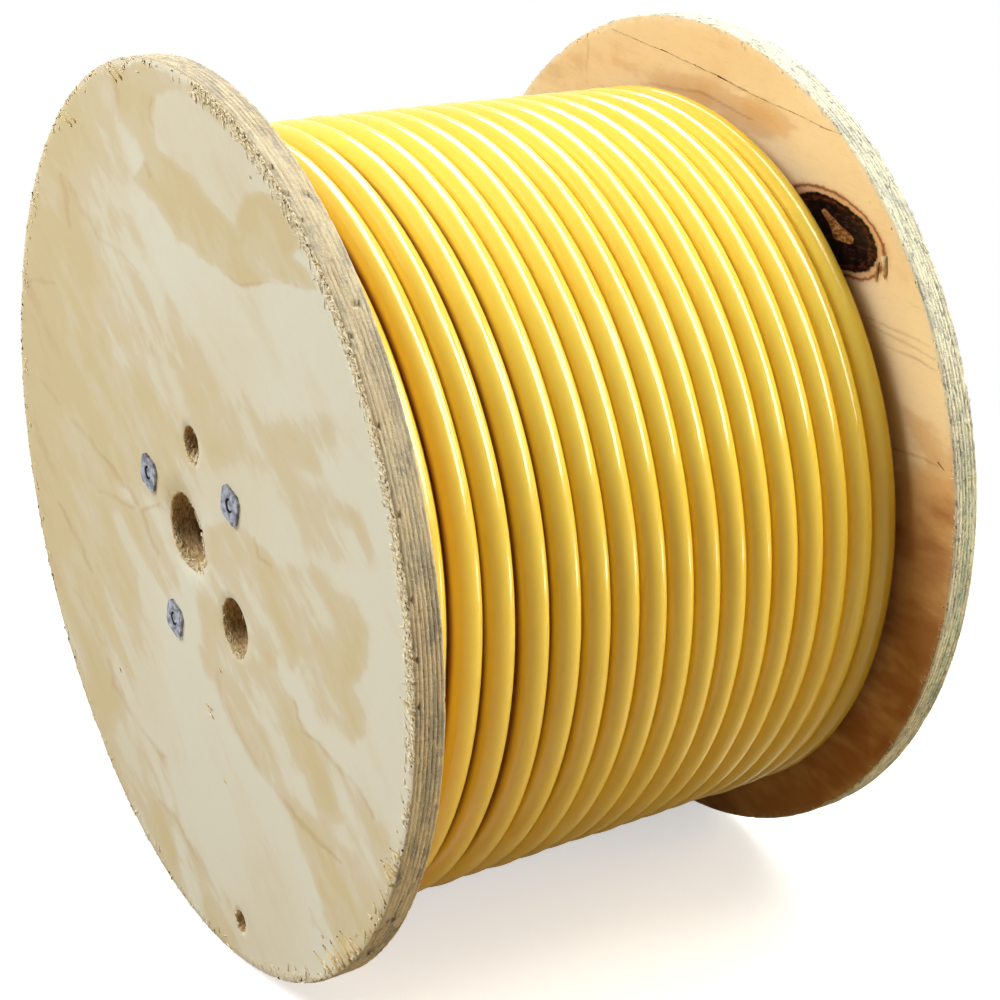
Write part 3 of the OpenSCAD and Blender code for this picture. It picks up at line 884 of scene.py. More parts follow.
def add_wall(shell, hole, lip, firsts, y_low):
    """Adds a hole's drilled wall, from one torn lip to the other."""
    verts = []
    for a in hole.angles():
        sunk = 0.2 * MM + hole.torn(a) * 0.7
        for k in range(HOLE_ROWS):
            depth = sunk + (PLY_T - 2 * sunk) * k / (HOLE_ROWS - 1)
            x, z = hole.point(a, hole.wall(a, depth))
            verts.append(Vector((x, y_low + depth, AXIS_Z + z)))
    first = shell.add(verts, strip_faces(0, hole.segments, HOLE_ROWS, True, False, True), WALL)
    for i, a in enumerate(lip):
        j = (i + 1) % hole.segments
        b = lip[j]
        low, next_low = first + i * HOLE_ROWS, first + j * HOLE_ROWS
        high, next_high = low + HOLE_ROWS - 1, next_low + HOLE_ROWS - 1
        shell.join([[firsts[0] + b, next_low, low, firsts[0] + a],
                    [firsts[1] + a, high, next_high, firsts[1] + b]], LIP if hole.tear else WALL)


def flange(ys, holes, figures, fray, stain, seed, chips, knot=False, green=no_green, lines=()):
    """One plywood flange: two veneered faces on one triangulation, a rim of plies, and drilled walls."""
    shell = Shell()
    rim = []
    for i in range(RIM_SEGMENTS):
        a = TAU * i / RIM_SEGMENTS
        rim.append((a, [R - rim_wear(a, ply, seed, chips) - inset for _, ply, _, inset in RIM_ROWS]))
    placed, faces, loops = face_layout(rim, holes, ys[0], knot, lines)
    firsts = add_faces(shell, placed, faces, ys, figures, fray, knot)
    add_rim(shell, rim, loops[0], firsts, ys[0], stain, seed, green)
    for hole, lip in zip(holes, loops[1:]):
        add_wall(shell, hole, lip, firsts, ys[0])
    return shell


# Ways out of the reel at the near and far end, and the face veneers' grain
OUT_NEAR = Vector((0, -1, 0))
OUT_FAR = Vector((0, 1, 0))
GRAIN = math.radians(-35)
# How deep the pieces that lie on a face stand proud of it
FLUSH = 0.02 * MM
LOOSE = 0.05 * MM


def run(start, end, out):
    """Direction, sideways direction and length of the way from one point of a face to another."""
    along = (end - start).normalized()
    return along, along.cross(out).normalized(), (end - start).length


def sliver(shell, base, along, up, length, width, lift, slot):
    """A torn fibre: a tapered three-sided splinter that lies on the wood and lifts at its tip."""
    side = along.cross(up).normalized()
    steps = 3
    verts = []
    for k in range(steps):
        t = k / steps
        c = base + along * (length * t) + up * (lift * t * t)
        w = width * (1 - 0.55 * t)
        verts += [c - side * w / 2, c + side * w / 2, c + up * w * 0.6]
    verts.append(base + along * length + up * lift)
    last = (steps - 1) * 3
    tip = [[last + m, last + (m + 1) % 3, len(verts) - 1] for m in range(3)]
    shell.add(verts, [[2, 1, 0], *strip_faces(0, steps, 3), *tip], slot)


def kept_inside(base, along, length):
    """A fibre's length, cut down until its tip lies inside the rim."""
    centre = Vector((0, base.y, AXIS_Z))
    while (base + along * length - centre).length > R - 0.3 * MM and length > 0.6 * MM:
        length *= 0.7
    return length


def rim_fibres(shell, y, out, count, spans, lengths, reach, seed, dark=0.04, widths=(0.3, 0.7)):
    """Frayed veneer along a rim's edge, some of it dark flat slivers as painted shade between the fibres:
    (from angle, to angle, share of the fibres) in each span.
    """
    rng = random.Random(seed)
    for low, high, share in spans:
        for _ in range(int(count * share)):
            angle = rng.uniform(low, high)
            r = R - 0.9 * MM - reach * rng.random() ** 2
            base = place(angle, r, y)
            lean = GRAIN + rng.gauss(0, 0.45)
            along = Vector((math.cos(lean), 0, math.sin(lean))) * rng.choice((-1, 1))
            length = kept_inside(base, along, rng.uniform(*lengths) * MM)
            # Painted shade: a dark flat sliver in the gap between torn fibres
            if rng.random() < dark:
                start = place(angle, R - 1.2 * MM - 2.6 * MM * rng.random(), y)
                sliver(shell, start + out * 0.03 * MM, along, out, kept_inside(start, along, length * 0.45),
                       rng.uniform(0.7, 1.3) * MM, 0.1 * MM, rng.choice((WALL, WALL, SLIT)))
            else:
                sliver(shell, base + out * LOOSE, along, out, length, rng.uniform(*widths) * MM,
                       rng.uniform(0.1, 0.6) * MM, PALE)


def near_fray(r, angle):
    """How frayed the near flange's veneer is towards its rim: most at the upper right, a little all round."""
    band = smooth((r - R + 9 * MM) / (8 * MM))
    right = smooth((angle + 12) / 25) * smooth((86 - angle) / 20)
    low = 0.45 * smooth(1 - abs(angle + 58) / 32)
    return band * max(right, low, 0.12)


def light_fray(r, angle):
    return 0.25 * smooth((r - R + 4 * MM) / (4 * MM))


# Gouges in the near face, from the rim inward: (from column, row, to column, row, width in mm)
NEAR_GOUGES_PX = [
    (333, 975, 314, 951, 1.6), (341, 972, 323, 945, 2.2), (346, 969, 331, 942, 1.8),
    (352, 963, 337, 936, 2.2), (358, 957, 340, 931, 1.8), (362, 952, 350, 938, 1.2),
    (402, 861, 390, 848, 1.7), (400, 872, 386, 858, 1.3), (399, 879, 381, 860, 2.0),
    (394, 888, 384, 866, 1.5), (416, 716, 400, 697, 1.5), (72, 126, 58, 112, 1.3), (76, 122, 63, 110, 1.0),
    (122, 79, 108, 62, 1.4), (117, 82, 104, 66, 1.0), (386, 905, 380, 890, 1.0), (412, 820, 404, 808, 0.9),
]
# Small chips and specks in the near face, in the same form
NEAR_SPECKS_PX = [
    (206, 704, 214, 711, 0.9), (210, 712, 215, 720, 0.9), (224, 779, 227, 784, 0.8),
    (219, 668, 222, 673, 0.7), (120, 668, 122, 673, 0.7), (236, 650, 245, 656, 1.2),
    (250, 176, 252, 179, 0.6), (322, 935, 324, 938, 0.9), (330, 940, 332, 943, 0.9),
    (324, 946, 326, 948, 0.9),
]


def gouges(shell, y, out, marks):
    """Bare wood in a torn groove, with a darker edge, a lifted fibre and a pit at its inner end."""
    for x0, y0, x1, y1, width in marks:
        start, end = on_plane(x0, y0, y), on_plane(x1, y1, y)
        centre = Vector((0, y, AXIS_Z))
        if (start - centre).length > R - 1.2 * MM:
            start = centre + (start - centre).normalized() * (R - 1.2 * MM)
        along, side, length = run(start, end, out)
        sliver(shell, start + out * FLUSH, along, out, length, width * 1.2 * MM, 0.05 * MM, BARE)
        sliver(shell, start + side * width * 0.7 * MM + out * FLUSH, along, out, length * 0.6,
               0.3 * MM, 0.05 * MM, WALL)
        sliver(shell, start - side * width * 0.35 * MM + out * 0.1 * MM, along, out, length * 0.7,
               0.6 * MM, 0.5 * MM, PALE)
        sliver(shell, end - along * 0.7 * MM + out * 0.03 * MM, along, out, 1.0 * MM, width * 0.4 * MM,
               0.05 * MM, SLIT)


def specks(shell, y, out, marks, seed):
    """Small torn chips: a darker slit beside a lifted pale fibre."""
    rng = random.Random(seed)
    for x0, y0, x1, y1, width in marks:
        start = on_plane(x0, y0, y)
        along, side, length = run(start, on_plane(x1, y1, y), out)
        sliver(shell, start + out * FLUSH, along, out, length, width * MM, 0.05 * MM, WALL)
        sliver(shell, start + side * width * 0.8 * MM, along, out, length * rng.uniform(0.7, 0.95),
               width * MM, 0.5 * MM, PALE)


def cracks(shell, y, out, strokes, seed):
    """Fine dark cracks, each a run of slits with a lifted pale fibre here and there."""
    rng = random.Random(seed)
    for stroke in strokes:
        for (x0, y0, w0), (x1, y1, w1) in zip(stroke, stroke[1:]):
            a, b = on_plane(x0, y0, y), on_plane(x1, y1, y)
            steps = max(1, int((b - a).length / (7 * MM)))
            for k in range(steps):
                start = a.lerp(b, k / steps)
                along, side, length = run(start, a.lerp(b, (k + 1) / steps), out)
                start += side * rng.uniform(-0.35, 0.35) * MM
                width = (w0 + (w1 - w0) * k / steps) * rng.uniform(0.6, 1.2) * MM
                sliver(shell, start + out * FLUSH, along, out, length * 1.25, width, 0.0,
                       rng.choice((WALL, WALL, SLIT)))
                if rng.random() < 0.3:
                    sliver(shell, start + side * width * 0.8, along, out, length * 0.7,
                           width * 0.8, 0.25 * MM, PALE)


def hole_fibres(shell, hole, y, out, count, seed):
    """Torn fibres on a hole's ragged lip, and pale flakes on its edge and wall, low and to the left."""
    rng = random.Random(seed)
    for k in range(count):
        flake = k % 3 > 0
        a = math.radians(248) + rng.gauss(0, 0.6) if flake else hole.tear_side + rng.gauss(0, 0.8)
        inward, round_hole = Vector((-math.cos(a), 0, -math.sin(a))), Vector((-math.sin(a), 0, math.cos(a)))
        deep = 4.0 * MM * rng.random() ** 2 if flake else 0.0
        lip_r = hole.lip(a % TAU) - rng.uniform(-0.2, 0.9) * MM
        x, z = hole.point(a, hole.r + (lip_r - hole.r) * max(0.0, 1 - deep / (1.2 * MM)))
        base = Vector((x, y, AXIS_Z + z)) - out * deep + out * LOOSE
        if flake:
            along = (round_hole * rng.choice((-1, 1)) + inward * rng.uniform(0.1, 0.6)
                     - out * abs(rng.gauss(0, 0.3))).normalized()
            sliver(shell, base, along, inward, rng.uniform(1.2, 3.6) * MM, rng.uniform(0.3, 0.9) * MM,
                   rng.uniform(0.0, 0.4) * MM, rng.choice((PALE, PALE, LIP, BARE)))
        else:
            lean = GRAIN + rng.gauss(0, 0.3)
            along = (Vector((math.cos(lean), 0, math.sin(lean))) * rng.choice((-1, 1)) + inward).normalized()
            sliver(shell, base, along, out, rng.uniform(1.2, 3.2) * MM, rng.uniform(0.4, 0.9) * MM,
                   rng.uniform(-0.8, 0.3) * MM, PALE)


random.seed(7)
# The vector noise that shifts the faces' figure takes its offsets from the clock unless it is seeded
noise.seed_set(7)
near_holes = [
    Hole(*ARBOR, 150, 7.0 * MM, -22, 1), Hole(*DRIVE, 120, 2.4 * MM, -100, 2),
    Hole(*PILOT, 90, 2.2 * MM, -80, 3), Hole(*TIE_HOLE, 60, 1.0 * MM, 200, 4),
    *(Hole(angle, r, NUT_BARREL_D, 36, 0, 0, 5 + i) for i, (angle, r) in enumerate(BOLTS)),
]
far_holes = [
    Hole(*ARBOR, 96, 0.8 * MM, 30, 11), Hole(*DRIVE, 72, 0.8 * MM, 40, 12),
    Hole(*PILOT, 48, 0.6 * MM, 60, 13),
    *(Hole(angle, r, BOLT_HOLE_D, 32, 0, 0, 14 + i) for i, (angle, r) in enumerate(BOLTS)),
]


# Black smudges on the near rim: (angle, half width in degrees, amount)
NEAR_SMUDGES = [(-43, 2.6, 1.1), (-33, 1.2, 0.9), (-24, 1.6, 0.5), (6, 3.0, 0.4), (24, 4.0, 0.4)]


def near_dirt_and_shade(angle):
    """Dirt on the near rim, and painted shade where less light falls, both growing towards the floor."""
    low = smooth((10 - math.sin(math.radians(angle)) * 60) / 60)
    smudge = sum(amount * smooth(1 - abs((angle - at + 180) % 360 - 180) / width)
                 for at, width, amount in NEAR_SMUDGES)
    return 0.15 + 0.6 * low + smudge


def far_stain(angle):
    return 0.2 + 0.4 * smooth(-math.sin(math.radians(angle)) * 1.2)


def face_angle(column, row):
    """Angle round the axis of a place on the near face that shows at a pixel."""
    at = on_plane(column, row, NEAR_OUT)
    return math.degrees(math.atan2(at.z - AXIS_Z, at.x))


def green_tint(angle, share):
    """Green weathering of a few plies at the far rim's right."""
    return smooth(1 - abs((angle + 8 + 180) % 360 - 180) / 34) * smooth(1 - abs(share - 0.55) / 0.4)


# Chips out of the near rim: (column, row) of each that the photograph shows
NEAR_CHIPS_PX = [
    (266, 181), (280, 212), (292, 240), (333, 355), (372, 518), (386, 594), (394, 650), (400, 697),
]
NEAR_CHIPS = [(face_angle(*at), 0.45, 1.5 * MM, (0,)) for at in NEAR_CHIPS_PX]
NEAR_CHIPS += [(98, 2.6, 2.2 * MM, (0, 1)), (41, 0.5, 1.6 * MM, (3, 4)), (28, 0.6, 1.4 * MM, (0,)),
              (-36, 1.2, 1.0 * MM, (0,)), (-62, 1.6, 1.4 * MM, (0, 1)), (55, 0.7, 1.2 * MM, (3, 4)),
              (160, 1.8, 1.5 * MM, (5, 6)), (-130, 2.0, 1.2 * MM, (0,))]
FAR_CHIPS = [(120, 1.2, 1.0 * MM, (0,)), (20, 0.9, 1.2 * MM, (6,)), (-50, 1.6, 1.2 * MM, (5, 6)),
             (-150, 1.8, 1.5 * MM, (0,))]

WOODS = [hole_wood, pale_fibre, dark_slit, lip_wood, bare_wood]

near_shell = flange(
    (NEAR_OUT, NEAR_IN), near_holes,
    (lambda points: photo_figure(points, NEAR_TAN_AND_SHADE_PX, NEAR_PALE_PX, NEAR_LINES_PX, 0.1, FIGURE_WARP_PX),
     lambda points: veneer_figure(points, 2.3)),
    (near_fray, light_fray), near_dirt_and_shade, 3.0, NEAR_CHIPS, lines=NEAR_LINES_PX)
rim_fibres(near_shell, NEAR_OUT, OUT_NEAR, 2600, [(-8, 80, 0.68), (-75, -8, 0.07), (80, 285, 0.1)], (1.8, 6),
           8 * MM, 21, 0.24, (0.5, 1.2))
gouges(near_shell, NEAR_OUT, OUT_NEAR, NEAR_GOUGES_PX)
specks(near_shell, NEAR_OUT, OUT_NEAR, NEAR_SPECKS_PX, 22)
for i, (hole, count) in enumerate(zip(near_holes[:4], (330, 190, 130, 44))):
    hole_fibres(near_shell, hole, NEAR_OUT, OUT_NEAR, count, 30 + i)
near_piece = near_shell.build("near_flange_plywood", [near_face, near_back, near_edge] + WOODS)
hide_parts("near_flange")
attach(near_piece, "root")

far_shell = flange(
    (FAR_IN, FAR_OUT), far_holes,
    (lambda points: photo_figure(points, FAR_TAN_AND_SHADE_PX, FAR_PALE_PX, FAR_LINES_PX, 0.15, FAR_WARP_PX),
     lambda points: veneer_figure(points, 4.1)),
    (light_fray, light_fray), far_stain, 9.0, FAR_CHIPS, knot=True, green=green_tint, lines=FAR_LINES_PX)
cracks(far_shell, FAR_IN, OUT_NEAR, FAR_CRACKS_PX, 40)
for x0, y0, x1, y1, width, lift, slot in KNOT_CHIPS_PX:
    start = on_plane(x0, y0, FAR_IN)
    along, _, length = run(start, on_plane(x1, y1, FAR_IN), OUT_NEAR)
    sliver(far_shell, start, along, OUT_NEAR, length, width * MM, lift * MM, slot)
rim_fibres(far_shell, FAR_IN, OUT_NEAR, 260, [(0, 120, 0.6), (120, 360, 0.4)], (1.2, 3.5), 2 * MM, 41)
rim_fibres(far_shell, FAR_OUT, OUT_FAR, 400, [(0, 360, 1.0)], (1.5, 5), 4 * MM, 42)
far_piece = far_shell.build("far_flange_plywood", [far_face, far_back, far_edge] + WOODS)
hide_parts("far_flange")
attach(far_piece, "root")


# ---------------------------------------------------------------- cable

TUBE_SIDES = 28
RINGS_PER_TURN = 168
JACKET_T = 2.1 * MM
STRAND_R = 0.62 * MM
TURN_R = WINDING_R - CABLE_D / 2
# How far each turn lies off its even place, towards the near flange, in mm: above and low at the front
SLIP_ABOVE = (
    -2.2, -2.8, -1.4, -1.4, -2.5, -2.2, -2.0, -1.7, -1.4, -1.2, -0.8, -0.5, -0.7, -0.9, -0.9, -0.5, 0.0)
SLIP_LOW = (
    6.4, 4.2, 3.2, 0.8, -0.5, -2.6, -3.2, -3.6, -3.6, -3.2, -2.8, -2.4, -2.2, -2.2, -2.4, -2.0, -1.5)
SLIP_FROM = 26
SLIP_TO = -34
STRAND_SIDES = 8
DIVE_STEPS = 20
TAIL_STEPS = 12
# The layer under the outer one, and the solid core's inner radius and segments
INNER_SIDES = 20
INNER_STEPS = 96
CORE_BORE_R = 101.65 * MM
CORE_SEGMENTS = 180


def turn_y(k):
    """A turn's even place along the axis, from the middle of the winding."""
    steps = [CABLE_D + (LOOSE_GAP if i < LOOSE_GAPS else TIGHT_GAP) for i in range(TURNS - 1)]
    return sum(steps[:k]) - sum(steps) / 2


def slip(turn, theta):
    """Shift towards the near flange at a turn, counted from 0 with fractions, and a world angle."""
    low = min(int(turn), TURNS - 2)
    part = min(1.0, turn - low)
    above, below = (row[low] * (1 - part) + row[low + 1] * part for row in (SLIP_ABOVE, SLIP_LOW))
    theta = (theta + 90) % 360 - 90
    down = smooth((SLIP_FROM - theta) / (SLIP_FROM - SLIP_TO)) if theta < 120 else smooth((theta - 180) / 80)
    return (above + (below - above) * down) * MM


def cable_path(a):
    """Centre's distance from the axis, place along it, and outward angle, at an angle along the winding."""
    k = min(TURNS - 1, max(0, math.floor((a - CROSS_START) / 360) + 1))
    before = max(0, k - 1)
    crossed = smooth((a - CROSS_START - 360 * (k - 1)) / (CROSS_END - CROSS_START))
    lean = smooth((a - LAST_ANGLE + LEAN_ANGLE) / LEAN_ANGLE)
    y = turn_y(before) + (turn_y(k) - turn_y(before)) * crossed + TAIL_SHIFT * lean
    turn = before + (k - before) * crossed
    y -= slip(turn, -a)
    ends = smooth((a - FIRST_ANGLE) / 60) * smooth((LAST_ANGLE - a) / 60)
    theta = math.radians(-a)
    c, s = math.cos(theta), math.sin(theta)
    sway = noise.noise(Vector((c * 2.2, s * 2.2, turn * 1.7))) * 0.30 * MM
    hang = (noise.noise(Vector((turn * 2.3, 4.0, 1.0))) + 0.2) * 1.5 * MM * smooth(-s)
    rise = noise.noise(Vector((c * 1.7, s * 1.7, 50 + turn * 1.1))) * 0.5 * MM
    return TURN_R + (rise + hang) * ends, y + sway * ends


def winding_point(angle, r, y):
    a = math.radians(angle)
    return Vector((r * math.cos(a), y, AXIS_Z - SAG - r * math.sin(a)))


def outward(angle):
    a = math.radians(angle)
    return Vector((math.cos(a), 0, -math.sin(a)))


def ring_points(centre, out, radius, sides):
    """A ring of points round a centre, from its outward side towards +Y."""
    turns = [TAU * m / sides for m in range(sides)]
    return [centre + out * (radius * math.cos(b)) + OUT_FAR * (radius * math.sin(b)) for b in turns]


def tube(rings, sides):
    """Points and faces of a cable along rings of (centre, outward direction), closed at its start only."""
    verts = [point for centre, out in rings for point in ring_points(centre, out, CABLE_D / 2, sides)]
    return verts, strip_faces(0, len(rings), sides) + [list(range(sides))[::-1]]


def outer_rings():
    """The outer layer's way: up from inside the winding, round its turns, and straight on at its end."""
    start_r, start_y = cable_path(FIRST_ANGLE)
    bend_centre = winding_point(FIRST_ANGLE, start_r - DIVE_BEND_R, start_y)
    inner_end = FIRST_ANGLE - DIVE_ANGLE
    end = bend_centre + outward(inner_end) * DIVE_BEND_R
    a = math.radians(inner_end)
    inward = Vector((math.sin(a), 0, math.cos(a)))
    rings = [(end + inward * (CABLE_D * k), outward(inner_end)) for k in (2.0, 1.5, 1.0, 0.5)]
    for i in range(DIVE_STEPS):
        f = inner_end + DIVE_ANGLE * i / DIVE_STEPS
        rings.append((bend_centre + outward(f) * DIVE_BEND_R, outward(f)))
    count = int((LAST_ANGLE - FIRST_ANGLE) / (360 / RINGS_PER_TURN))
    for i in range(count + 1):
        angle = FIRST_ANGLE + (LAST_ANGLE - FIRST_ANGLE) * i / count
        rings.append((winding_point(angle, *cable_path(angle)), outward(angle)))
    last, out = rings[-1]
    a = math.radians(LAST_ANGLE)
    ahead = Vector((-math.sin(a), 0, -math.cos(a)))
    rings += [(last + ahead * (TAIL_L * i / TAIL_STEPS), out) for i in range(1, TAIL_STEPS + 1)]
    return rings, ahead


def tube_attributes(obj, rings, sides, rest):
    """Groove, which sets the jacket's painted shade: 1 where neighbours hide a turn, 0 on its crown, rest on
    points off the tube. Along: metres. Around: 1 at the inner side.
    """
    groove = [smooth((0.6 - math.cos(TAU * m / sides)) / 0.8) for m in range(sides)] * len(rings)
    along, around, length = [], [], 0.0
    for i, (centre, _) in enumerate(rings):
        length += (centre - rings[i - 1][0]).length if i else 0.0
        along += [length] * sides
        around += [1 - abs(TAU * m / sides - math.pi) / math.pi for m in range(sides)]
    for name, values, fill in (("groove", groove, rest), ("along", along, 0.0), ("around", around, 0.0)):
        add_attribute(obj, name, values + [fill] * (len(obj.data.vertices) - len(values)))


def outer_layer():
    """The outer turns, with their cut end: the jacket's rim, a recess, and the copper strands in it."""
    rings, ahead = outer_rings()
    verts, faces = tube(rings, TUBE_SIDES)
    end, out = rings[-1]
    last = len(verts) - TUBE_SIDES
    bore_r = CABLE_D / 2 - JACKET_T
    for radius, depth in ((CABLE_D / 2 - 0.4 * MM, 0.4 * MM), (bore_r, 0.4 * MM), (bore_r, -1.4 * MM)):
        verts += ring_points(end + ahead * depth, out, radius, TUBE_SIDES)
    faces += strip_faces(last, 4, TUBE_SIDES)
    jacket_faces = len(faces)
    faces.append(list(range(len(verts) - TUBE_SIDES, len(verts))))
    reach = bore_r - STRAND_R
    rows = int(reach / (STRAND_R * 1.74)) + 1
    for j in range(-rows, rows + 1):
        for i in range(-rows - 2, rows + 3):
            u, v = (i + 0.5 * (j % 2)) * STRAND_R * 2.02, j * STRAND_R * 1.75
            if math.hypot(u, v) > reach:
                continue
            centre = end + out * u + OUT_FAR * v
            top = random.uniform(-0.2, 0.25) * MM
            first = len(verts)
            for depth, radius in ((-2.0 * MM, STRAND_R), (top, STRAND_R), (top + 0.15 * MM, STRAND_R * 0.75)):
                verts += ring_points(centre + ahead * depth, out, radius, STRAND_SIDES)
            faces += strip_faces(first, 3, STRAND_SIDES)
            top_ring = range(len(verts) - STRAND_SIDES, len(verts))
            faces += [list(top_ring), list(range(first, first + STRAND_SIDES))[::-1]]
    slots = [0] * jacket_faces + [1] * (len(faces) - jacket_faces)
    obj = new_object("cable_outer_turns", verts, faces, [yellow, copper], slots)
    tube_attributes(obj, rings, TUBE_SIDES, 0.0)
    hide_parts("cable_outer_layer")
    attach(obj, "root")


def inner_layers():
    """The layer under the outer one as turns that lie in its grooves, on a solid core of the rest."""
    low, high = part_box("cable_inner_layers")
    r = (high.x - low.x) / 2 - CABLE_D / 2
    turns = TURNS + 1
    pitch = (high.y - low.y - CABLE_D) / (turns - 1)
    rings = []
    for i in range(turns * INNER_STEPS):
        angle = i * 360 / INNER_STEPS + 180 - 40
        k, part = divmod(i, INNER_STEPS)
        # The layer beneath lies flat at the front too, and crosses over at the back
        y = low.y + CABLE_D / 2 + pitch * min(turns - 1, k + smooth((part / INNER_STEPS - 0.35) / 0.3))
        rings.append((winding_point(angle, r, y), outward(angle)))
    verts, faces = tube(rings, INNER_SIDES)
    first = len(verts)
    faces.append(list(range(first - INNER_SIDES, first)))
    # Core: a closed ring round the drum
    core_r = r - CABLE_D * 0.2
    for i in range(CORE_SEGMENTS):
        out = outward(360 / CORE_SEGMENTS * i)
        for radius, y in ((CORE_BORE_R, low.y), (core_r, low.y), (core_r, high.y), (CORE_BORE_R, high.y)):
            drop = SAG if radius == core_r else 0
            verts.append(Vector((radius * out.x, y, AXIS_Z - drop + radius * out.z)))
    faces += strip_faces(first, CORE_SEGMENTS, 4, loop_rings=True)
    obj = new_object("cable_inner_turns", verts, faces, [yellow], [0] * len(faces))
    tube_attributes(obj, rings, INNER_SIDES, 0.5)
    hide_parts("cable_inner_layers")
    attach(obj, "root")


outer_layer()
inner_layers()


# ---------------------------------------------------------------- drum and fasteners

def finish_node(name, material, bevel=0.0):
    """Gives a CAD node its finish, with its hard edges eased."""
    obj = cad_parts[name]
    obj.data.materials.clear()
    obj.data.materials.append(material)
    if bevel:
        edge = obj.modifiers.new("eased edges", "BEVEL")
        edge.width = bevel
        edge.segments = 2
        edge.limit_method = "ANGLE"
        edge.angle_limit = math.radians(40)
        edge.harden_normals = True


finish_node("drum", fibre)
for i in (1, 2, 3):
    finish_node(f"tie_bolt_{i}", bolt_steel, 0.5 * MM)
    finish_node(f"t_nut_{i}", steel, 0.3 * MM)
finish_node("end_staple", steel)


# ---------------------------------------------------------------- floor, light and camera

FLOOR_HALF = 12.0
FLOOR_GLOW = 0.55
FLOOR_FADE = (0.35, 1.1)
FLOOR_BOUNCE = (0.33, 0.25, 0.14)
ROOM_LIGHT = 0.04


def area_light(name, at, target, size, power, color=(1, 1, 1), along=(1, 0, 0)):
    """A softbox that faces a point, its length laid along a direction."""
    data = bpy.data.lights.new(name, "AREA")
    data.shape = "RECTANGLE"
    data.size, data.size_y = size
    data.energy = power
    data.color = color
    obj = bpy.data.objects.new(name, data)
    back = (Vector(at) - Vector(target)).normalized()
    up = back.cross(Vector(along)).normalized()
    turn = Matrix((up.cross(back), up, back)).transposed().to_4x4()
    obj.matrix_world = Matrix.Translation(at) @ turn
    bpy.context.scene.collection.objects.link(obj)
    return obj


def backdrop_rays(tree):
    """1 for the rays that see the white backdrop: the camera's, and those that mirror or pass through."""
    path = tree.nodes.new("ShaderNodeLightPath")
    total = path.outputs["Is Camera Ray"]
    for name in ("Is Glossy Ray", "Is Transmission Ray"):
        larger = tree.nodes.new("ShaderNodeMath")
        larger.operation = "MAXIMUM"
        tree.links.new(total, larger.inputs[0])
        tree.links.new(path.outputs[name], larger.inputs[1])
        total = larger.outputs[0]
    return total


def floor_material():
    """White to the camera wherever light reaches it, but a dim mirror of light for the object above it."""
    n = Nodes("floor")
    shown = n.new("ShaderNodeBsdfDiffuse")
    shown.inputs["Color"].default_value = (0.9, 0.9, 0.9, 1)
    glow = n.new("ShaderNodeEmission")
    glow.inputs["Color"].default_value = (1, 1, 1, 1)
    camera = n.new("ShaderNodeLightPath").outputs["Is Camera Ray"]
    n.link(n.math("MULTIPLY", camera, FLOOR_GLOW), glow.inputs["Strength"])
    bright = n.new("ShaderNodeAddShader")
    n.link(shown.outputs[0], bright.inputs[0])
    n.link(glow.outputs[0], bright.inputs[1])
    dim = n.new("ShaderNodeBsdfDiffuse")
    dim.inputs["Color"].default_value = (*FLOOR_BOUNCE, 1)
    # Away from the object the floor runs out into the white backdrop
    away = n.new("ShaderNodeVectorMath", operation="LENGTH")
    n.link(n.position(), away.inputs[0])
    backdrop = n.new("ShaderNodeEmission")
    backdrop.inputs["Color"].default_value = (1, 1, 1, 1)
    backdrop.inputs["Strength"].default_value = 1.0
    seen = n.new("ShaderNodeMixShader")
    n.link(n.span(away.outputs["Value"], FLOOR_FADE[0], FLOOR_FADE[1]), seen.inputs["Fac"])
    n.link(bright.outputs[0], seen.inputs[1])
    n.link(backdrop.outputs[0], seen.inputs[2])
    mix = n.new("ShaderNodeMixShader")
    n.link(backdrop_rays(n.tree), mix.inputs["Fac"])
    n.link(dim.outputs[0], mix.inputs[1])
    n.link(seen.outputs[0], mix.inputs[2])
    n.link(mix.outputs[0], n.tree.nodes["Material Output"].inputs["Surface"])
    n.tree.nodes.remove(n.shader)
    return n.material


corners = [(FLOOR_HALF * x, FLOOR_HALF * y, 0.0) for x, y in ((-1, -1), (1, -1), (1, 1), (-1, 1))]
floor = new_object("floor", corners, [[0, 1, 2, 3]], [floor_material()], smooth_shade=False)

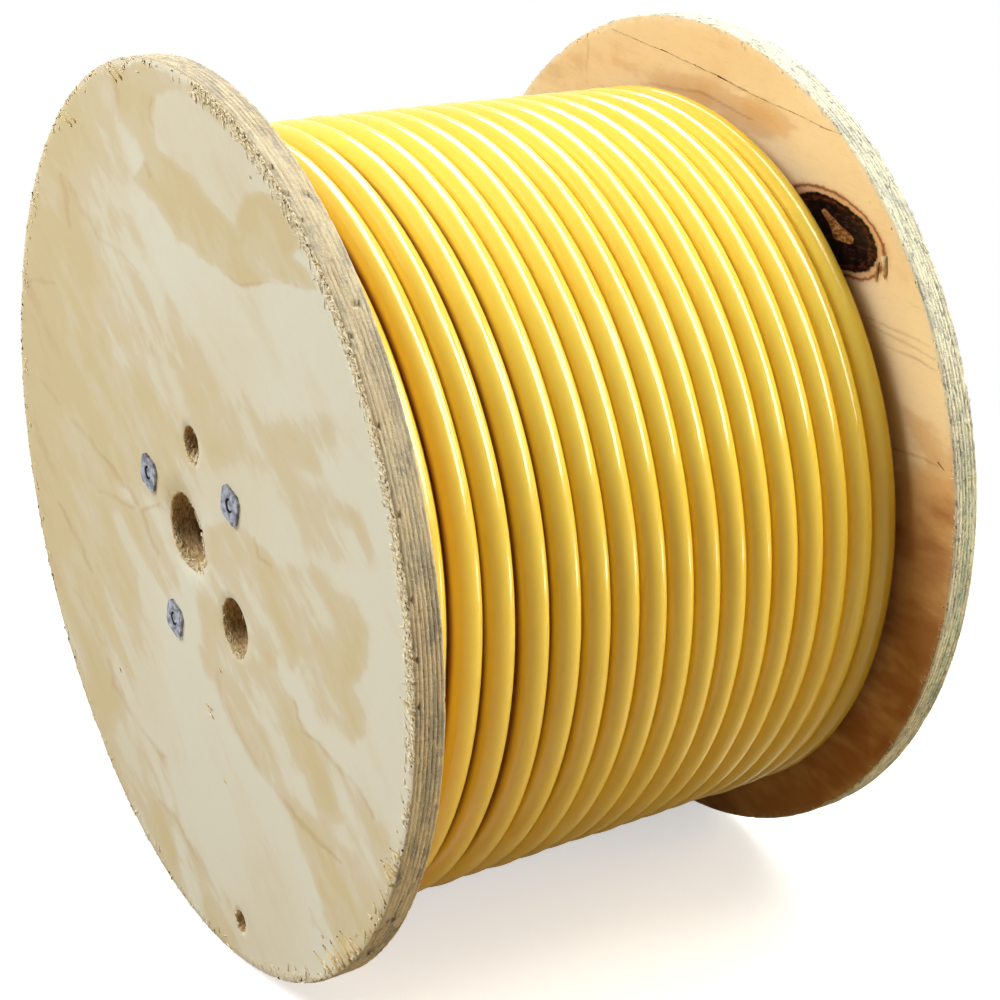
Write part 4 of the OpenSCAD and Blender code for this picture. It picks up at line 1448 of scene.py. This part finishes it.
world = bpy.data.worlds.new("studio")
bpy.context.scene.world = world
world.use_nodes = True
tree = world.node_tree
tree.nodes.clear()
mix = tree.nodes.new("ShaderNodeMixShader")
for slot, (name, strength) in enumerate((("room", ROOM_LIGHT), ("backdrop", 1.0))):
    background = tree.nodes.new("ShaderNodeBackground")
    background.name = name
    background.inputs["Color"].default_value = (1, 1, 1, 1)
    background.inputs["Strength"].default_value = strength
    tree.links.new(background.outputs[0], mix.inputs[slot + 1])
tree.links.new(backdrop_rays(tree), mix.inputs["Fac"])
tree.links.new(mix.outputs[0], tree.nodes.new("ShaderNodeOutputWorld").inputs["Surface"])


def towards(x, y, z, distance):
    """A place in a direction from the reel's middle."""
    return Vector((0, 0, AXIS_Z)) + Vector((x, y, z)).normalized() * distance


# Softboxes: (direction from the reel, distance, length and width, watts, colour, what they light,
# direction of their length).
# "body" ones give no highlight, "shine" ones nothing else: the long highlights on the cable.
WHITE = (1.0, 1.0, 1.0)
SOFTBOXES = {
    "front_top": ((-0.28, -0.60, 0.75), 3.0, (1.7, 1.7), 88, WHITE, "body", (1, 0, 0)),
    "back_sky": ((0.25, 0.50, 0.83), 2.2, (1.6, 1.6), 45, (0.96, 1.0, 0.96), "body", (1, 0, 0)),
    "right_fill": ((0.70, 0.72, 0.12), 2.2, (1.6, 1.5), 36, (1.0, 0.90, 0.70), "body", (1, -1, 0)),
    "near_key": ((0.05, -1.0, 0.05), 2.4, (0.5, 0.5), 9, WHITE, "all", (1, 0, 0)),
    "strip_left": ((-0.46, 0.45, 0.76), 1.8, (1.1, 0.66), 44, WHITE, "shine", (0.76, 0, 0.46)),
    "strip_top": ((0.15, 0.43, 0.89), 1.8, (1.1, 0.66), 47, WHITE, "shine", (0.89, 0, -0.15)),
    "strip_right": ((0.56, 0.62, 0.52), 1.8, (1.3, 0.55), 58, WHITE, "shine", (0.35, 0.33, -0.68)),
    "strip_back": ((0.15, 0.93, 0.20), 1.9, (1.15, 0.45), 34, WHITE, "shine", (0, 0, 1)),
}
for name, (direction, distance, size, power, color, lit, along) in SOFTBOXES.items():
    box = area_light(name, towards(*direction, distance), (0, 0, AXIS_Z), size, power, color, along)
    box.visible_glossy = lit != "body"
    box.visible_diffuse = lit != "shine"
strip_low = area_light("strip_low", (0.32, 1.75, 0.012), (0.32, 1.75, 1.0), (0.6, 1.9), 50)
strip_low.visible_diffuse = False
strip_low.visible_camera = False

bpy.context.scene.view_settings.view_transform = "Standard"
make_camera()
